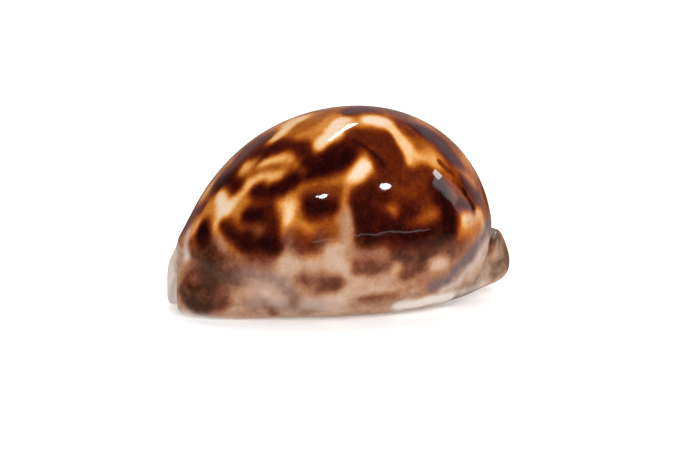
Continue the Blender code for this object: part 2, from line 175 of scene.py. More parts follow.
@dataclass
class CowrieForm:
    """Shape of the shell, by the sizes that the solid model has too."""

    half_length: float = 38.4 * MM
    columellar_half_width: float = 27.6 * MM
    outer_half_width: float = 28.2 * MM
    blunt_rear: float = 0.06
    height: float = 46.4 * MM
    top: tuple[float, float] = (4.2 * MM, -0.5 * MM)
    widest_columellar: float = 15.0 * MM
    widest_outer: float = 12.5 * MM
    widest_rear: float = 13.2 * MM
    widest_front: float = 14.4 * MM
    fullness_columellar: float = 2.1
    fullness_outer: float = 2.05
    fullness_rear: float = 1.63
    fullness_front: float = 1.62
    side_blend: float = 0.35
    lobe_front: float = 2.6 * MM
    lobe_rear_columellar: float = 4.7 * MM
    lobe_rear_outer: float = 5.8 * MM
    lobe_side: float = 0.9 * MM
    crest_front_columellar: float = 12.5 * MM
    crest_front_outer: float = 14.8 * MM
    crest_rear: float = 15.0 * MM
    crest_side: float = 5.0 * MM
    above_crest: float = 2.0 * MM
    lobe_start: float = 3.0 * MM
    canal_dip: float = 0.6
    reach_front: float = 36.0 * MM
    reach_rear: float = 24.0 * MM
    tuck_columellar: float = 9.0 * MM
    tuck_outer: float = 5.5 * MM
    lift_rear: float = 2.7 * MM
    lift_rear_from: float = 18.0 * MM
    lift_front: float = 0.8 * MM
    lift_front_from: float = 30.0 * MM
    lift_end: float = 40.0 * MM
    pit_at: float = 7.0 * MM
    pit_width: float = 4.5 * MM
    low_turn: float = 0.90
    low_reach: tuple[float, float] = (0.72, 1.05)
    low_height: float = 1.0 * MM
    low_over_roof: float = 0.6 * MM
    rim_reach: tuple[float, float] = (0.2, 0.9)
    rim_out: tuple[float, float] = (-1.4 * MM, -0.2 * MM)
    rim_over_roof: float = -0.1 * MM
    base_sag: float = -0.55 * MM
    sag_ends: float = 1.5 * MM
    slot_front_end: float = 37.2 * MM
    slot_rear_end: float = 35.8 * MM
    slot_offset: float = 3.6 * MM
    slot_skew: float = -0.055
    slot_bend: float = -3.4
    slot_half: float = 3.15 * MM
    slot_front_flare: float = 0.75 * MM
    slot_front_flare_x: float = -24.0 * MM
    slot_front_flare_length: float = 13.0 * MM
    slot_rear_pinch: float = 0.25 * MM
    slot_pinch_from_to: tuple[float, float] = (-5.0 * MM, 30.0 * MM)
    canal_half_front: float = 4.2 * MM
    canal_half_rear: float = 3.9 * MM
    canal_roof_front: float = 8.5 * MM
    canal_roof_rear: float = 9.5 * MM
    canal_arch: float = 0.75
    flare_to: float = 16.0 * MM
    wall: float = 3.3 * MM
    thinner_top: float = 0.7 * MM
    floor_inset: float = 8.0 * MM
    floor_spread: float = 0.35
    foot_inset: float = 5.8 * MM
    side_hollow: tuple[float, float] = (4.0 * MM, 22.0 * MM)
    hollow_widest: float = 13.0 * MM
    above_widest: float = 1.0 * MM
    side_columns: int = 240
    canal_columns: int = 32

    def margin(self, angle: np.ndarray) -> np.ndarray:
        """Egg-shaped margin of the back, seen from above."""
        half_width = np.where(
            np.sin(angle) >= 0.0, self.outer_half_width, self.columellar_half_width)
        x = self.half_length * np.cos(angle)
        y = half_width * np.sin(angle) * (1.0 + self.blunt_rear * np.cos(angle))
        return np.stack([x, y], axis=-1)

    def outward(self, angle: np.ndarray) -> np.ndarray:
        """Unit normals of the margin, pointing away from the shell."""
        step = 1e-4
        tangent = self.margin(angle + step) - self.margin(angle - step)
        normal = np.stack([tangent[:, 1], -tangent[:, 0]], axis=-1)
        return normal / np.linalg.norm(normal, axis=1)[:, None]

    def columns(self) -> Columns:
        """Columns spaced evenly along the two lips and across the two canals."""
        dense = np.linspace(0.0, 2.0 * np.pi, 20001)
        lengths = np.linalg.norm(np.diff(self.margin(dense), axis=0), axis=1)
        arc = np.concatenate([[0.0], np.cumsum(lengths)])
        whole = arc[-1]
        front = np.interp(np.pi, dense, arc)
        side = np.arange(self.side_columns) / self.side_columns
        across = np.arange(self.canal_columns) / self.canal_columns
        swing = 0.5 - 0.5 * np.cos(np.pi * across)
        rear_middle = self.slot_line(self.slot_rear_end)
        front_middle = front - self.slot_line(-self.slot_front_end)
        rear_ends = rear_middle + self.canal_half_rear, rear_middle - self.canal_half_rear
        front_ends = front_middle - self.canal_half_front, front_middle + self.canal_half_front
        arcs = np.concatenate([
            mix(front_ends[0], rear_ends[0], side),
            mix(rear_ends[0], rear_ends[1], swing),
            mix(rear_ends[1], front_ends[1] - whole, side),
            mix(front_ends[1] - whole, front_ends[0] - whole, swing),
        ])
        from_rear = arcs - rear_middle
        from_rear = np.where(from_rear < -0.5 * whole, from_rear + whole, from_rear)
        arcs = np.mod(arcs, whole)
        angle = np.interp(arcs, arc, dense)
        counts = [self.side_columns, self.canal_columns] * 2
        section = np.repeat([int(part) for part in Section], counts)
        along = np.concatenate([side, across, side, across])
        in_canal = (section == Section.REAR_CANAL) | (section == Section.FRONT_CANAL)
        return Columns(
            angle=angle,
            section=section,
            along=along,
            from_front=np.abs(arcs - front_middle),
            from_rear=from_rear,
            outer=0.5 + 0.5 * np.clip(np.sin(angle) / self.side_blend, -1.0, 1.0),
            notch=np.where(in_canal, np.sin(np.pi * along) ** self.canal_arch, 0.0),
            dip=np.where(in_canal, np.sin(np.pi * along) ** 2, 0.0),
        )

    def by_direction(self, columns: Columns, rear: float, front: float,
                     columellar: float, outer: float) -> np.ndarray:
        """Blend four values of the shell's sides round its columns."""
        rear_part = np.clip(np.cos(columns.angle), 0.0, 1.0) ** 2
        front_part = np.clip(-np.cos(columns.angle), 0.0, 1.0) ** 2
        side = mix(columellar, outer, columns.outer)
        return rear * rear_part + front * front_part + side * (1.0 - rear_part - front_part)

    def widest(self, columns: Columns) -> np.ndarray:
        """Height of the widest line."""
        return self.by_direction(
            columns, self.widest_rear, self.widest_front, self.widest_columellar,
            self.widest_outer)

    def back_ring(self, columns: Columns, rho: float, inset: float, top: float,
                  low: np.ndarray) -> np.ndarray:
        """Ring of the domed back, or of the hollow under it.

        Args:
            columns: Columns of the sheet.
            rho: 0 at the top of the back, 1 at the margin.
            inset: How far the margin is drawn in.
            top: Height of the top.
            low: Height of the margin, one value for each column.

        Returns:
            One point for each column.
        """
        fullness = self.by_direction(
            columns, self.fullness_rear, self.fullness_front, self.fullness_columellar,
            self.fullness_outer)
        power = 2.0 / (2.0 + (fullness - 2.0) * rho ** 2)
        reach = np.sin(np.pi * rho / 2.0) ** power
        rise = np.cos(np.pi * rho / 2.0) ** power
        margin = self.margin(columns.angle) - self.outward(columns.angle) * inset
        centre = np.array(self.top) * (1.0 - rho ** 2)
        flat = centre + margin * reach[:, None]
        return np.column_stack([flat, low + (top - low) * rise])

    def end_weights(self, columns: Columns) -> tuple[np.ndarray, np.ndarray]:
        """How much each column belongs to the front lobe and to the rear lobe."""
        front = 1.0 - smooth(columns.from_front, self.lobe_start, self.reach_front)
        rear = 1.0 - smooth(np.abs(columns.from_rear), self.lobe_start, self.reach_rear)
        return front, rear

    def lobe_reach(self, columns: Columns) -> np.ndarray:
        """How far the margin stands out past the back."""
        front, rear = self.end_weights(columns)
        rear_reach = mix(self.lobe_rear_columellar, self.lobe_rear_outer, columns.outer)
        side = self.lobe_side * columns.outer * (1.0 - front) * (1.0 - rear)
        reach = self.lobe_front * front + rear_reach * rear + side
        return reach * (1.0 - self.canal_dip * columns.dip)

    def crest(self, columns: Columns) -> np.ndarray:
        """Height of the lobes' upper edge, falling to the sides."""
        front, rear = self.end_weights(columns)
        crest_front = mix(self.crest_front_columellar, self.crest_front_outer, columns.outer)
        lobes = crest_front * front + self.crest_rear * rear
        ends = np.clip(front + rear, 0.0, 1.0)
        return mix(self.crest_side, lobes / np.maximum(front + rear, 1e-6), ends)

    def canal_roof(self, columns: Columns) -> np.ndarray:
        """Height of the roof of the nearer canal."""
        front, rear = self.end_weights(columns)
        return np.where(front > rear, self.canal_roof_front, self.canal_roof_rear)

    def end_lift(self, x: np.ndarray) -> np.ndarray:
        """Height of the base above the ground towards the two ends."""
        rear = self.lift_rear * smooth(x, self.lift_rear_from, self.lift_end)
        front = self.lift_front * smooth(-x, self.lift_front_from, self.lift_end)
        return rear + front

    def margin_rings(self, columns: Columns) -> list[np.ndarray]:
        """Rings from under the back, round the lobes, to the rim of the base."""
        front, rear = self.end_weights(columns)
        lobed = np.clip(front + rear, 0.0, 1.0)
        crest = self.crest(columns)
        reach = self.lobe_reach(columns)
        roof = self.canal_roof(columns)
        widest = self.widest(columns)
        tuck = mix(self.tuck_columellar, self.tuck_outer, columns.outer)
        margin = self.margin(columns.angle)
        normal = self.outward(columns.angle)
        lift = self.end_lift(margin[:, 0])
        pit = np.exp(-((columns.from_rear + self.pit_at) / self.pit_width) ** 2)

        def ring(turn: float, out: np.ndarray, height: np.ndarray) -> np.ndarray:
            """Blend the plain turned-under side with the lobe's own profile."""
            quarter = np.pi / 2.0 * turn
            side_out = -tuck * (1.0 - np.cos(quarter))
            side_height = widest * (1.0 - np.sin(quarter))
            flat = margin + normal * mix(side_out, out, lobed)[:, None]
            return np.column_stack([flat, mix(side_height, height, lobed)])

        rings = []
        for step in MARGIN_STEPS:
            out = mix(*step.lobe_share, front) * reach + step.out + step.pit_out * pit
            height = step.crest_share * crest + mix(*step.up, front)
            height = height + step.lift_share * lift + step.pit_up * pit
            over = np.maximum(height, roof + step.over_roof)
            rings.append(ring(step.turn, out, mix(height, over, columns.notch)))
        low_out = reach * mix(*self.low_reach, front)
        low = ring(self.low_turn, low_out, np.full_like(reach, self.low_height))
        low_up = low[:, 2] + self.low_turn * lift
        low[:, 2] = mix(low_up, roof + self.low_over_roof, columns.notch)
        rings.append(low)
        rim_out = reach * mix(*self.rim_reach, front) + mix(*self.rim_out, front)
        rim = ring(1.0, rim_out, np.zeros_like(reach))
        rim[:, 2] = mix(rim[:, 2] + lift, roof + self.rim_over_roof, columns.notch)
        rings.append(rim)
        return rings

    def slot_line(self, x: np.ndarray) -> np.ndarray:
        """Middle line of the mouth, which bends to the columellar side behind."""
        return self.slot_offset + self.slot_skew * x + self.slot_bend * x * x

    def slot_half_width(self, x: np.ndarray) -> np.ndarray:
        """Half the width of the mouth, a little wider in front."""
        past_flare = (x - self.slot_front_flare_x) / self.slot_front_flare_length
        pinch = smooth(x, *self.slot_pinch_from_to)
        return (self.slot_half + self.slot_front_flare * np.exp(-past_flare ** 2)
                - self.slot_rear_pinch * pinch)

    def mouth_ring(self, columns: Columns, step: MouthStep) -> np.ndarray:
        """Ring round the mouth: straight along the lips, and arched over the canals."""
        x = np.zeros_like(columns.along)
        y = np.zeros_like(columns.along)
        z = np.full_like(columns.along, step.height)
        front = step.shorter - self.slot_front_end
        rear = self.slot_rear_end - step.shorter

        def half_width(at: np.ndarray) -> np.ndarray:
            """Half the width of this ring, which flares less towards the canals."""
            narrowing = smooth(np.abs(at), self.flare_to, self.slot_rear_end)
            narrowing = 0.0 if step.on_base else narrowing
            return self.slot_half_width(at) + step.flare * (1.0 - narrowing)

        lips = (
            (Section.OUTER_LIP, front, rear, 1.0),
            (Section.COLUMELLAR_LIP, rear, front, -1.0),
        )
        for section, start, stop, side in lips:
            here = columns.section == section
            x[here] = mix(start, stop, columns.along[here])
            y[here] = self.slot_line(x[here]) + side * half_width(x[here])
        canals = (
            (Section.REAR_CANAL, rear, 1.0, self.canal_roof_rear),
            (Section.FRONT_CANAL, front, -1.0, self.canal_roof_front),
        )
        for section, end, side, roof in canals:
            here = columns.section == section
            half_turn = np.pi * columns.along[here]
            x[here] = end
            y[here] = self.slot_line(end) + side * half_width(end) * np.cos(half_turn)
            arch = np.sin(half_turn) ** self.canal_arch
            z[here] = mix(step.height, roof + step.roof_up, arch)
        if step.on_base:
            lift = self.end_lift(x)
            level = min(step.height, 0.0) * smooth(lift, 0.0, self.sag_ends)
            z += (lift - level) * (1.0 - columns.notch)
        return np.column_stack([x, y, z])

    def base_rings(self, columns: Columns, rim: np.ndarray) -> list[np.ndarray]:
        """Rings across the base, from its rim to the lips."""
        edge = self.mouth_ring(columns, LIP_EDGE)
        lift = self.end_lift(rim[:, 0])
        roof = self.canal_roof(columns)
        rings = []
        for share in BASE_STEPS:
            ring = mix(rim, edge, share)
            lifted = mix(lift, self.end_lift(edge[:, 0]), share)
            sag = self.base_sag * (1.0 - smooth(lifted, 0.0, self.sag_ends))
            ring[:, 2] = mix(lifted + sag, roof, columns.notch)
            rings.append(ring)
        return rings

    def hollow_rings(self, columns: Columns) -> list[np.ndarray]:
        """Rings of the hollow, from its floor beside the mouth up to its top."""
        margin = self.margin(columns.angle)
        normal = self.outward(columns.angle)
        from_canals = np.minimum(columns.from_front, np.abs(columns.from_rear))
        side = smooth(from_canals, *self.side_hollow)
        floor = self.mouth_ring(columns, FLOOR)
        corner = np.column_stack([margin - normal * self.floor_inset, floor[:, 2]])
        rings = [mix(floor, corner, (self.floor_spread * side)[:, None])]
        foot = self.mouth_ring(columns, FOOT)
        wall_foot = np.column_stack([margin - normal * self.foot_inset, foot[:, 2]])
        rings.append(mix(foot, wall_foot, mix(self.floor_spread, 1.0, side)[:, None]))
        low = np.maximum(self.widest(columns), self.hollow_widest) + self.above_widest
        top = self.height - self.wall + self.thinner_top
        for rho in reversed(BACK_STEPS):
            rings.append(self.back_ring(columns, rho, self.wall, top, low))
        return rings

    def control_rings(self, columns: Columns) -> np.ndarray:
        """All control rings, from the top of the back to the top of the hollow."""
        widest = self.widest(columns)
        rings = [self.back_ring(columns, rho, 0.0, self.height, widest) for rho in BACK_STEPS]
        rings[-1][:, 2] = np.maximum(widest, self.crest(columns) + self.above_crest)
        rings += self.margin_rings(columns)
        rings += self.base_rings(columns, rings[-1])
        rings += [self.mouth_ring(columns, step) for step in MOUTH_STEPS]
        rings += self.hollow_rings(columns)
        return np.stack(rings)


def spline_weights(t: float) -> np.ndarray:
    """Weights of four neighbours on a uniform cubic B-spline."""
    return np.array([
        (1.0 - t) ** 3,
        3.0 * t ** 3 - 6.0 * t ** 2 + 4.0,
        -3.0 * t ** 3 + 3.0 * t ** 2 + 3.0 * t + 1.0,
        t ** 3,
    ]) / 6.0


class ShellSheet:
    """The shell's surface as rows of points, lying on the ground and centred over the origin.

    Attributes:
        columns: Columns of the sheet.
        ring: For each row, the control ring that it lies at.
        points: Rows by columns by three coordinates. The first and last row are one point each.
    """

    def __init__(self, form: CowrieForm) -> None:
        """Evaluate the form.

        Args:
            form: The shell's sizes.
        """
        self.columns = form.columns()
        net = form.control_rings(self.columns)
        half = net.shape[1] // 2
        before = np.roll(net[1], half, axis=0)
        after = np.roll(net[-2], half, axis=0)
        padded = np.concatenate([before[None], net, after[None]])
        starts = []
        for band in ROW_BANDS:
            first = int(starts[-1] + 1.0) if starts else 0
            starts += [first + n / band.steps for n in range(band.rings * band.steps)]
        self.ring = np.array(starts + [float(len(net) - 1)])
        rows = []
        for at in self.ring:
            first = min(int(at), len(net) - 2)
            rows.append(np.tensordot(spline_weights(at - first), padded[first:first + 4], axes=1))
        sheet = np.stack(rows)
        around = spline_weights(0.0)
        sheet = (around[0] * np.roll(sheet, 1, axis=1) + around[1] * sheet
                 + around[2] * np.roll(sheet, -1, axis=1))
        sheet[0] = sheet[0].mean(axis=0)
        sheet[-1] = sheet[-1].mean(axis=0)
        middle = 0.5 * (sheet.min(axis=(0, 1)) + sheet.max(axis=(0, 1)))
        sheet[:, :, :2] -= middle[:2]
        self.points = sheet

    def flat(self, grid: np.ndarray) -> np.ndarray:
        """One value for each vertex of the mesh, from one for each row and column."""
        inner = grid[1:-1].reshape((-1,) + grid.shape[2:])
        return np.concatenate([grid[:1, 0], inner, grid[-1:, 0]])

    def faces(self) -> list[tuple[int, ...]]:
        """Faces of the closed sheet, pointing outwards."""
        rows, columns = self.points.shape[:2]
        near = np.arange(columns)
        far = np.roll(near, -1)
        last = (rows - 2) * columns + 1
        faces = [(0, b + 1, a + 1) for a, b in zip(near, far)]
        for row in range(rows - 3):
            top = 1 + row * columns
            low = top + columns
            faces += [(top + a, top + b, low + b, low + a) for a, b in zip(near, far)]
        end = last - columns
        faces += [(last, end + a, end + b) for a, b in zip(near, far)]
        return faces

    def mesh(self, name: str) -> bpy.types.Mesh:
        """The sheet as a mesh, shaded smooth."""
        mesh = bpy.data.meshes.new(name)
        mesh.from_pydata(self.flat(self.points).tolist(), [], self.faces())
        mesh.shade_smooth()
        return mesh


def put_attribute(mesh: bpy.types.Mesh, name: str, values: np.ndarray) -> None:
    """Give a mesh one number for each point."""
    layer = mesh.attributes.new(name, "FLOAT", "POINT")
    layer.data.foreach_set("value", values.astype(np.float32))


class Value:
    """A number's socket. Python arithmetic on it adds Math nodes to its graph."""

    def __init__(self, graph: "Graph", socket: bpy.types.NodeSocket) -> None:
        """Wrap an output socket of a node in the graph."""
        self.graph = graph
        self.socket = socket

    def __add__(self, other: "Number") -> "Value":
        """Sum."""
        return self.graph.math("ADD", self, other)

    __radd__ = __add__

    def __sub__(self, other: "Number") -> "Value":
        """Difference."""
        return self.graph.math("SUBTRACT", self, other)

    def __rsub__(self, other: "Number") -> "Value":
        """Difference from a plain number."""
        return self.graph.math("SUBTRACT", other, self)

    def __mul__(self, other: "Number") -> "Value":
        """Product."""
        return self.graph.math("MULTIPLY", self, other)

    def __pow__(self, other: "Number") -> "Value":
        """Power."""
        return self.graph.math("POWER", self, other)


Number = float | Value


class Graph:
    """Adds nodes to one node tree, of a material, a world or a geometry modifier."""

    def __init__(self, tree: bpy.types.NodeTree) -> None:
        """Work on a tree."""
        self.tree = tree

    def node(self, kind: str, settings: dict | None = None,
             inputs: dict | None = None) -> bpy.types.Node:
        """Add one node.

        Args:
            kind: The node's type.
            settings: Its properties. The stops of a ramp are pairs of place and colour.
            inputs: Values or links of its sockets, by name or number.

        Returns:
            The new node.
        """
        node = self.tree.nodes.new(kind)
        for name, setting in (settings or {}).items():
            if name == "stops":
                self.set_stops(node.color_ramp, setting)
            else:
                setattr(node, name, setting)
        self.fill(node, inputs or {})
        return node

    def fill(self, node: bpy.types.Node, inputs: dict) -> None:
        """Set or link a node's sockets, by name or number."""
        for key, given in inputs.items():
            if isinstance(given, Value):
                self.tree.links.new(given.socket, node.inputs[key])
            else:
                node.inputs[key].default_value = given

    @staticmethod
    def set_stops(ramp: bpy.types.ColorRamp, stops: tuple) -> None:
        """Give a ramp its stops, in order."""
        while len(ramp.elements) < len(stops):
            ramp.elements.new(1.0)
        for element, (place, colour) in zip(ramp.elements, stops):
            element.position = place
            element.color = (*colour, 1.0)

    def value(self, node: bpy.types.Node, output: str | int = 0) -> Value:
        """One output of a node."""
        return Value(self, node.outputs[output])

    def add(self, kind: str, settings: dict | None = None, inputs: dict | None = None,
            output: str | int = 0) -> Value:
        """Add one node, and return one of its outputs."""
        return self.value(self.node(kind, settings, inputs), output)

    def math(self, operation: str, *operands: Number) -> Value:
        """A Math node."""
        return self.add("ShaderNodeMath", {"operation": operation}, dict(enumerate(operands)))

    def attribute(self, name: str) -> Value:
        """A point attribute of the surface."""
        return self.add("ShaderNodeAttribute", {"attribute_name": name}, output="Fac")

    def step(self, given: Number, low: float, high: float) -> Value:
        """Smooth step from 0 at low to 1 at high."""
        return self.add(
            "ShaderNodeMapRange", {"interpolation_type": "SMOOTHSTEP"},
            {"Value": given, "From Min": low, "From Max": high})

    def noise(self, place: Value, scale: float, detail: float = 2.0) -> Value:
        """Noise round 0, from about -0.5 to 0.5."""
        inputs = {"Vector": place, "Scale": scale, "Detail": detail}
        return self.add("ShaderNodeTexNoise", None, inputs, "Fac") - 0.5

    def ramp(self, place: Number, stops: tuple) -> Value:
        """A colour that changes with a number."""
        return self.add("ShaderNodeValToRGB", {"stops": stops}, {"Fac": place})

    def blend(self, factor: Number, first: "Value | tuple", second: "Value | tuple") -> Value:
        """Mix of two colours, on the Mix node's own colour sockets."""
        inputs = {"Factor": factor, 6: self.colour(first), 7: self.colour(second)}
        return self.add("ShaderNodeMix", {"data_type": "RGBA"}, inputs, 2)

    @staticmethod
    def colour(given: "Value | tuple") -> "Value | tuple":
        """A socket as it is, or a plain colour with its alpha."""
        return given if isinstance(given, Value) else (*given, 1.0)


@dataclass(frozen=True)
class PhotoView:
    """Where the photograph was taken from, and the camera that repeats it.

    The aim is the point at the middle of the picture, given from the shell's own middle.
    """

    azimuth: float = -20.9
    elevation: float = 10.4
    distance: float = 495.6 * MM
    middle_height: float = 20.0 * MM
    aim_right: float = 2.1 * MM
    aim_down: float = 4.2 * MM
    focal_pixels: float = 2081.0
    sensor_width: float = 36.0
    nearest: float = 25.0 * MM
    farthest: float = 25.0

    def back(self) -> Vector:
        """Direction from the shell to the camera."""
        turn = math.radians(self.azimuth)
        rise = math.radians(self.elevation)
        return Vector((
            math.sin(turn) * math.cos(rise),
            -math.cos(turn) * math.cos(rise),
            math.sin(rise),
        ))

    def place(self) -> Vector:
        """The camera's place."""
        return Vector((0.0, 0.0, self.middle_height)) + self.back() * self.distance

    def rotation(self) -> Quaternion:
        """The camera's rotation."""
        place = self.place()
        middle = Vector((0.0, 0.0, self.middle_height))
        straight = (middle - place).to_track_quat("-Z", "Y")
        aim = middle + straight @ Vector((self.aim_right, -self.aim_down, 0.0))
        return (aim - place).to_track_quat("-Z", "Y")

    def ray(self, pixel: tuple[float, float]) -> Vector:
        """Direction from the camera through a place in the photograph."""
        across = (pixel[0] - 0.5 * PHOTO_WIDTH) / self.focal_pixels
        down = (pixel[1] - 0.5 * PHOTO_HEIGHT) / self.focal_pixels
        return (self.rotation() @ Vector((across, -down, -1.0))).normalized()

    def make(self) -> bpy.types.Object:
        """Make the scene's camera."""
        data = bpy.data.cameras.new("photo_camera")
        data.sensor_width = self.sensor_width
        data.lens = self.focal_pixels / PHOTO_WIDTH * self.sensor_width
        data.clip_start = self.nearest
        data.clip_end = self.farthest
        camera = bpy.data.objects.new("photo_camera", data)
        camera.location = self.place()
        camera.rotation_mode = "QUATERNION"
        camera.rotation_quaternion = self.rotation()
        bpy.context.scene.collection.objects.link(camera)
        bpy.context.scene.camera = camera
        return camera


class Channel(Enum):
    """Point attributes that the markings are brushed into."""

    PIGMENT = "pigment"
    FLANK = "flank"
    # Painted shade in hollows and grooves, and painted sheen along the skyline.
    PAINTED_SHADE_AND_SHEEN = "grey"
    # Dark olive places, with painted shade in the rear lobe's pit and its slit.
    OLIVE_AND_PAINTED_SHADE = "olive"
    WHITE = "white"


@dataclass(frozen=True)
class Mark:
    """One soft-edged marking, with its lengths in millimetres.

    Attributes:
        name: What it is.
        path: Places in the photograph that its middle line runs through.
        half_width: Half its width on the shell.
        level: What it brings its channel to. Pigment is 0 for cream and 1 for black.
        halo: Distance over which it fades out.
        channel: The attribute it is brushed into.
    """

    name: str
    path: tuple[tuple[float, float], ...]
    half_width: float
    level: float
    halo: float = 1.5
    channel: Channel = Channel.PIGMENT


DARK_MARKS = (
    Mark("front oval", ((202, 228), (203, 233), (205, 238)), 1.5, 1.0, 0.7),
    Mark("front oval's foot", ((191, 240), (193, 247), (195, 255)), 0.5, 0.62, 0.7),
    Mark("front oval's dark tip", ((193, 251), (195, 257)), 0.3, 0.86, 0.6),
    Mark("front rim blot", ((194, 214), (202, 208)), 0.8, 0.78, 1.0),
    Mark("left shoulder blot", ((220, 184), (228, 179), (236, 187)), 1.7, 0.95),
    Mark("left shoulder blot, upper", ((230, 170), (240, 160)), 0.8, 0.80),
    Mark("left skyline streak", ((244, 154), (256, 146), (268, 138)), 0.8, 0.80),
    Mark("shoulder bar", ((260, 156), (272, 149), (284, 146), (296, 150), (304, 152)), 1.6, 0.90),
    Mark("left bar", ((258, 192), (268, 194), (279, 188), (291, 183)), 1.6, 1.0),
    Mark("left bar's fringe", ((256, 172), (266, 170), (276, 168)), 0.5, 0.62, 1.0),
    Mark("left eye", ((248, 216), (256, 214)), 1.5, 1.0),
    Mark("left eye's neighbour", ((266, 210), (272, 218), (273, 230)), 1.4, 0.90),
    Mark("between bar and eye", ((262, 203), (270, 202)), 0.7, 0.84),
    Mark("low left mass, front", ((226, 228), (234, 236), (244, 240)), 1.3, 0.94),
    Mark("low left mass", ((248, 243), (258, 244), (270, 245)), 2.3, 1.0),
    Mark("low left mass, under", ((250, 258), (262, 260)), 1.2, 0.62, 2.0),
    Mark("upper middle blot", ((296, 148), (306, 151)), 1.2, 0.88),
    Mark("skyline brown", ((296, 130), (306, 125), (318, 118)), 0.9, 0.52),
    Mark("middle diagonal", ((308, 172), (318, 168), (330, 162), (343, 156)), 2.0, 1.0),
    Mark("middle diagonal's upper edge", ((322, 158), (338, 150), (352, 146)), 1.2, 0.90),
    Mark("top skyline blot", ((346, 113), (356, 110), (364, 109)), 0.9, 0.82),
    Mark("top skyline, rear", ((376, 108), (390, 110), (402, 116)), 0.7, 0.66),
    Mark("beside the highlight", ((358, 138), (372, 138), (386, 142), (395, 152), (392, 165)),
         2.2, 0.80),
    Mark("beside the highlight, low", ((380, 160), (386, 170), (392, 176)), 1.6, 0.82),
    Mark("its red middle", ((372, 146), (379, 149)), 0.6, 0.70, 1.2),
    Mark("great mass, front", ((362, 204), (366, 218), (366, 232), (370, 241)), 2.3, 0.94),
    Mark("great mass, top", ((358, 192), (372, 190), (384, 196)), 1.6, 0.88),
    Mark("great mass, upper", ((400, 180), (414, 176), (426, 174)), 1.8, 0.78),
    Mark("great mass, inner", ((404, 196), (418, 196), (430, 190)), 2.0, 0.80),
    Mark("great mass, heart", ((384, 222), (394, 228), (410, 212)), 1.5, 0.94),
    Mark("great mass, foot", ((372, 241), (390, 238), (412, 237), (434, 235), (448, 232)), 1.8,
         0.96),
    Mark("great mass, below", ((396, 248), (416, 252), (434, 247)), 1.8, 0.94, 1.0),
    Mark("great mass, rear", ((436, 190), (444, 202), (448, 216), (449, 230)), 1.5, 1.0),
    Mark("middle blot", ((313, 204), (322, 209), (330, 207)), 1.8, 0.99),
    Mark("middle blot's cap", ((310, 194), (322, 190), (334, 192)), 0.9, 0.68),
    Mark("middle blot's tail", ((324, 222), (331, 232)), 1.5, 0.60),
    Mark("brown square", ((298, 245), (308, 245), (316, 245)), 1.5, 0.74, 0.9),
    Mark("brown square's corner", ((286, 238), (292, 240)), 1.0, 0.62),
    Mark("under the middle amber", ((300, 236), (318, 237), (326, 236)), 0.6, 0.74, 0.9),
    Mark("rear skyline reds", ((402, 124), (410, 131)), 1.0, 0.70),
    Mark("rear skyline spot", ((416, 128), (426, 133), (436, 139)), 1.3, 0.93),
    Mark("rear shoulder spot", ((444, 148), (450, 155), (457, 163)), 1.3, 0.90),
    Mark("rear edge spot", ((465, 181), (471, 189), (477, 197)), 1.1, 0.88),
    Mark("rear smudge", ((459, 204), (466, 208), (473, 211)), 0.7, 0.84, 0.8),
    Mark("rear edge rust", ((478, 186), (484, 198)), 0.6, 0.60),
)

